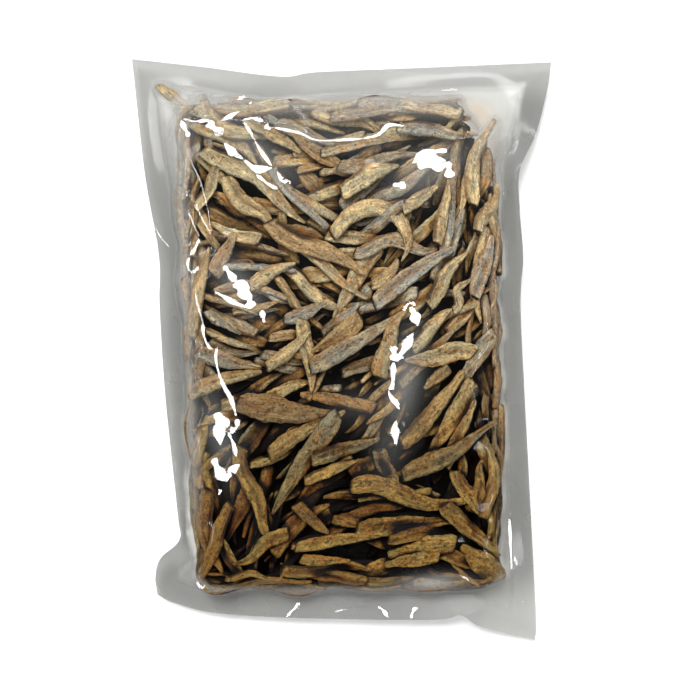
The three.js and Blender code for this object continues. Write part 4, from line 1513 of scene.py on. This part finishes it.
class SPRATS_OT_fill_core(bpy.types.Operator):
    """Fill the inside of the pack, which shows only as darkness between the sprats"""

    bl_idname = "sprats.fill_core"
    bl_label = "Fill Core"

    def execute(self, context):
        s = context.scene.sprat_settings
        count_x, count_y = 60, 90
        u, v = np.meshgrid(np.linspace(0, 1, count_x), np.linspace(0, 1, count_y))
        inset, bare_inset = 7, 26  # from the fill's edge, and from the corner that has no fish
        right = mix(FILL[2][0] - inset, FILL[1][0] - bare_inset, v)
        x = mix(mix(FILL[3][0], FILL[0][0], v) + inset, right, u)
        y = mix(FILL[3][1] + inset, FILL[0][1] - mix(inset, bare_inset, u**2), v)
        lumps = 0.8 * np.sin(x * 0.7) * np.sin(y * 0.6 + x * 0.2)
        upper = np.maximum(upper_sheet(x, y) - s.deep * 1000 + lumps, SEAM_HIGH + 0.5)
        lower = np.minimum(lower_sheet(x, y) + 9 + lumps, SEAM_HIGH - 0.5)
        ring = np.concatenate([
            np.arange(count_x),
            np.arange(1, count_y) * count_x + count_x - 1,
            (count_y - 1) * count_x + np.arange(count_x - 2, -1, -1),
            np.arange(count_y - 2, 0, -1) * count_x,
        ])
        sheet = grid_quads(count_y, count_x)
        total = count_x * count_y
        following = np.roll(ring, -1)
        wall = np.stack([ring + total, following + total, following, ring], -1)
        points = np.vstack([np.stack([x, y, z], -1).reshape(-1, 3) for z in (upper, lower)])
        faces = [np.vstack([sheet, sheet[:, ::-1] + total, wall])]
        mesh_piece("packed_core", points, faces, dark_core_material(s))
        return {"FINISHED"}


class SPRATS_OT_stretch_film(bpy.types.Operator):
    """Stretch the two clear sheets over and under the sprats, sealed to each other all round"""

    bl_idname = "sprats.stretch_film"
    bl_label = "Stretch Film"

    def execute(self, context):
        s = context.scene.film_settings
        plan = FilmPlan()
        contents = [o for o in context.scene.objects if o.type == "MESH" and o.name in CONTENTS]
        above, below = plan.relief(contents, 1), plan.relief(contents, -1)
        covered = blur(grow(np.where(above > NOTHING / 2, 1.0, 0.0), 1), 1)
        plan.sealed &= covered < COVERED_SHARE
        empty = blur(np.where((above < NOTHING / 2) & ~plan.sealed, 1.0, 0.0), 1)
        upper = plan.stretch(above + FILM_OVER, plan.skirt, s.pull)
        lower = -plan.stretch(below + FILM_OVER, -plan.skirt, s.pull)
        material = film_material(s)
        sheets = (("upper_film", upper, 1, UPPER_POINTS), ("lower_film", lower, -1, LOWER_POINTS))
        for name, sheet, face, counts in sheets:
            x, y, faces = film_grid(*(stations(*count) for count in counts))
            steepness = np.hypot(*np.gradient(sheet, FILM_CELL))
            high, fish, bare_of_fish, steep = (
                sample(field, plan.xs, plan.ys, x, y) for field in (sheet, covered, empty, steepness)
            )
            distance, _ = EDGE.at(x, y)
            sealed = seal_share(x, y, distance) * smoothstep(0.7, 0.2, fish)
            z = mix(high, skirt_height(x, y), sealed) + face * SHEETS_APART / 2
            points = np.column_stack([x, y, np.maximum(z, FILM_LOWEST)])
            values = film_values(s, x, y, face, sealed, fish, bare_of_fish, steep)
            mesh_piece(name, points, [faces[:, ::face]], material, values)

        def film_at(x, y):
            return sample(upper, plan.xs, plan.ys, x, y) + SHEETS_APART / 2

        points, faces, gloss = creases(film_at)
        none = np.zeros(len(points))
        values = {"milk": none, "grey": none, "gloss": gloss, "slack": none}
        mesh_piece("film_creases", points, faces, material, values)
        return {"FINISHED"}


class SPRATS_OT_set_stage(bpy.types.Operator):
    """Set the floor, the camera and the light"""

    bl_idname = "sprats.set_stage"
    bl_label = "Set Stage"

    def execute(self, context):
        scene = context.scene
        s = scene.stage_settings
        mesh = bpy.data.meshes.new("paper_floor")
        half = FLOOR_SIDE / 2
        corners = [(-half, -half, 0), (half, -half, 0), (half, half, 0), (-half, half, 0)]
        mesh.from_pydata(corners, [], [(0, 1, 2, 3)])
        floor = bpy.data.objects.new("paper_floor", mesh)
        mesh.materials.append(paper_material(s))
        scene.collection.objects.link(floor)

        camera = bpy.data.objects.new("camera", bpy.data.cameras.new("camera"))
        camera.data.sensor_width = SENSOR
        camera.data.lens = SENSOR * CAMERA_AWAY / (PHOTO_SIDE * PHOTO_MM)
        camera.location = (CAMERA_OVER[0] / 1000, CAMERA_OVER[1] / 1000, (CAMERA_AWAY + PHOTO_HIGH) / 1000)
        scene.collection.objects.link(camera)
        scene.camera = camera

        # (name, azimuth and tilt from straight up in degrees, spread in degrees, share of the key's strength)
        for name, azimuth, tilt, spread, share in (("key", 110, 32, 28, 1.0), ("fill", 290, 35, 60, 0.3)):
            lamp = bpy.data.lights.new(name, "SUN")
            lamp.angle = math.radians(spread)
            lamp.energy = s.key * share
            holder = bpy.data.objects.new(name, lamp)
            holder.rotation_euler = (0, math.radians(tilt), math.radians(azimuth))
            holder.visible_glossy = False
            scene.collection.objects.link(holder)

        for azimuth in WINDOW_AZIMUTHS:
            lamp = bpy.data.lights.new("window", "AREA")
            lamp.shape = "RECTANGLE"
            lamp.size, lamp.size_y = WINDOW_SIDES
            lamp.energy = s.window
            holder = bpy.data.objects.new(f"window_{azimuth}", lamp)
            holder.location = lamp_place(azimuth) / 1000
            holder.rotation_euler = (0, math.radians(WINDOW_TILT), math.radians(azimuth))
            holder.visible_diffuse = False
            scene.collection.objects.link(holder)

        world = bpy.data.worlds.new("studio")
        world.use_nodes = True
        tree = world.node_tree
        tree.nodes.clear()
        way = add_node(tree, "ShaderNodeTexCoord").outputs["Generated"]
        high = add_node(tree, "ShaderNodeSeparateXYZ", None, {0: way}).outputs["Z"]
        # A dark ceiling over bright walls, so that the level film doesn't mirror a white sky.
        strength = ramp(tree, high, 0.3, 0.8, s.sky, 0.03)
        sky = add_node(tree, "ShaderNodeBackground", {"Color": WHITE}, {"Strength": strength})
        add_node(tree, "ShaderNodeOutputWorld", None, {"Surface": sky.outputs[0]})
        scene.world = world
        scene.view_settings.view_transform = "Standard"
        return {"FINISHED"}


class SPRATS_PT_panel(bpy.types.Panel):
    """Lists the settings and the steps"""

    bl_label = "Pouch of Sprats"
    bl_idname = "SPRATS_PT_panel"
    bl_space_type = "VIEW_3D"
    bl_region_type = "UI"
    bl_category = "Sprats"

    def draw(self, context):
        for group in ("sprat_settings", "film_settings", "stage_settings"):
            box = self.layout.box()
            settings = getattr(context.scene, group)
            for name in settings.__annotations__:
                box.prop(settings, name)
        for step in STEPS:
            self.layout.operator(step)


CLASSES = (
    SpratSettings,
    FilmSettings,
    StageSettings,
    SPRATS_OT_lay_upper,
    SPRATS_OT_line_walls,
    SPRATS_OT_lay_lower,
    SPRATS_OT_fill_core,
    SPRATS_OT_stretch_film,
    SPRATS_OT_set_stage,
    SPRATS_PT_panel,
)
STEPS = (
    "sprats.set_stage",
    "sprats.lay_upper",
    "sprats.line_walls",
    "sprats.lay_lower",
    "sprats.fill_core",
    "sprats.stretch_film",
)


def register():
    for cls in CLASSES:
        bpy.utils.register_class(cls)
    bpy.types.Scene.sprat_settings = PointerProperty(type=SpratSettings)
    bpy.types.Scene.film_settings = PointerProperty(type=FilmSettings)
    bpy.types.Scene.stage_settings = PointerProperty(type=StageSettings)


def unregister():
    for name in ("sprat_settings", "film_settings", "stage_settings"):
        delattr(bpy.types.Scene, name)
    for cls in reversed(CLASSES):
        bpy.utils.unregister_class(cls)


def main():
    register()
    for step in STEPS:
        group, name = step.split(".")
        getattr(getattr(bpy.ops, group), name)()


if __name__ == "__main__":
    main()
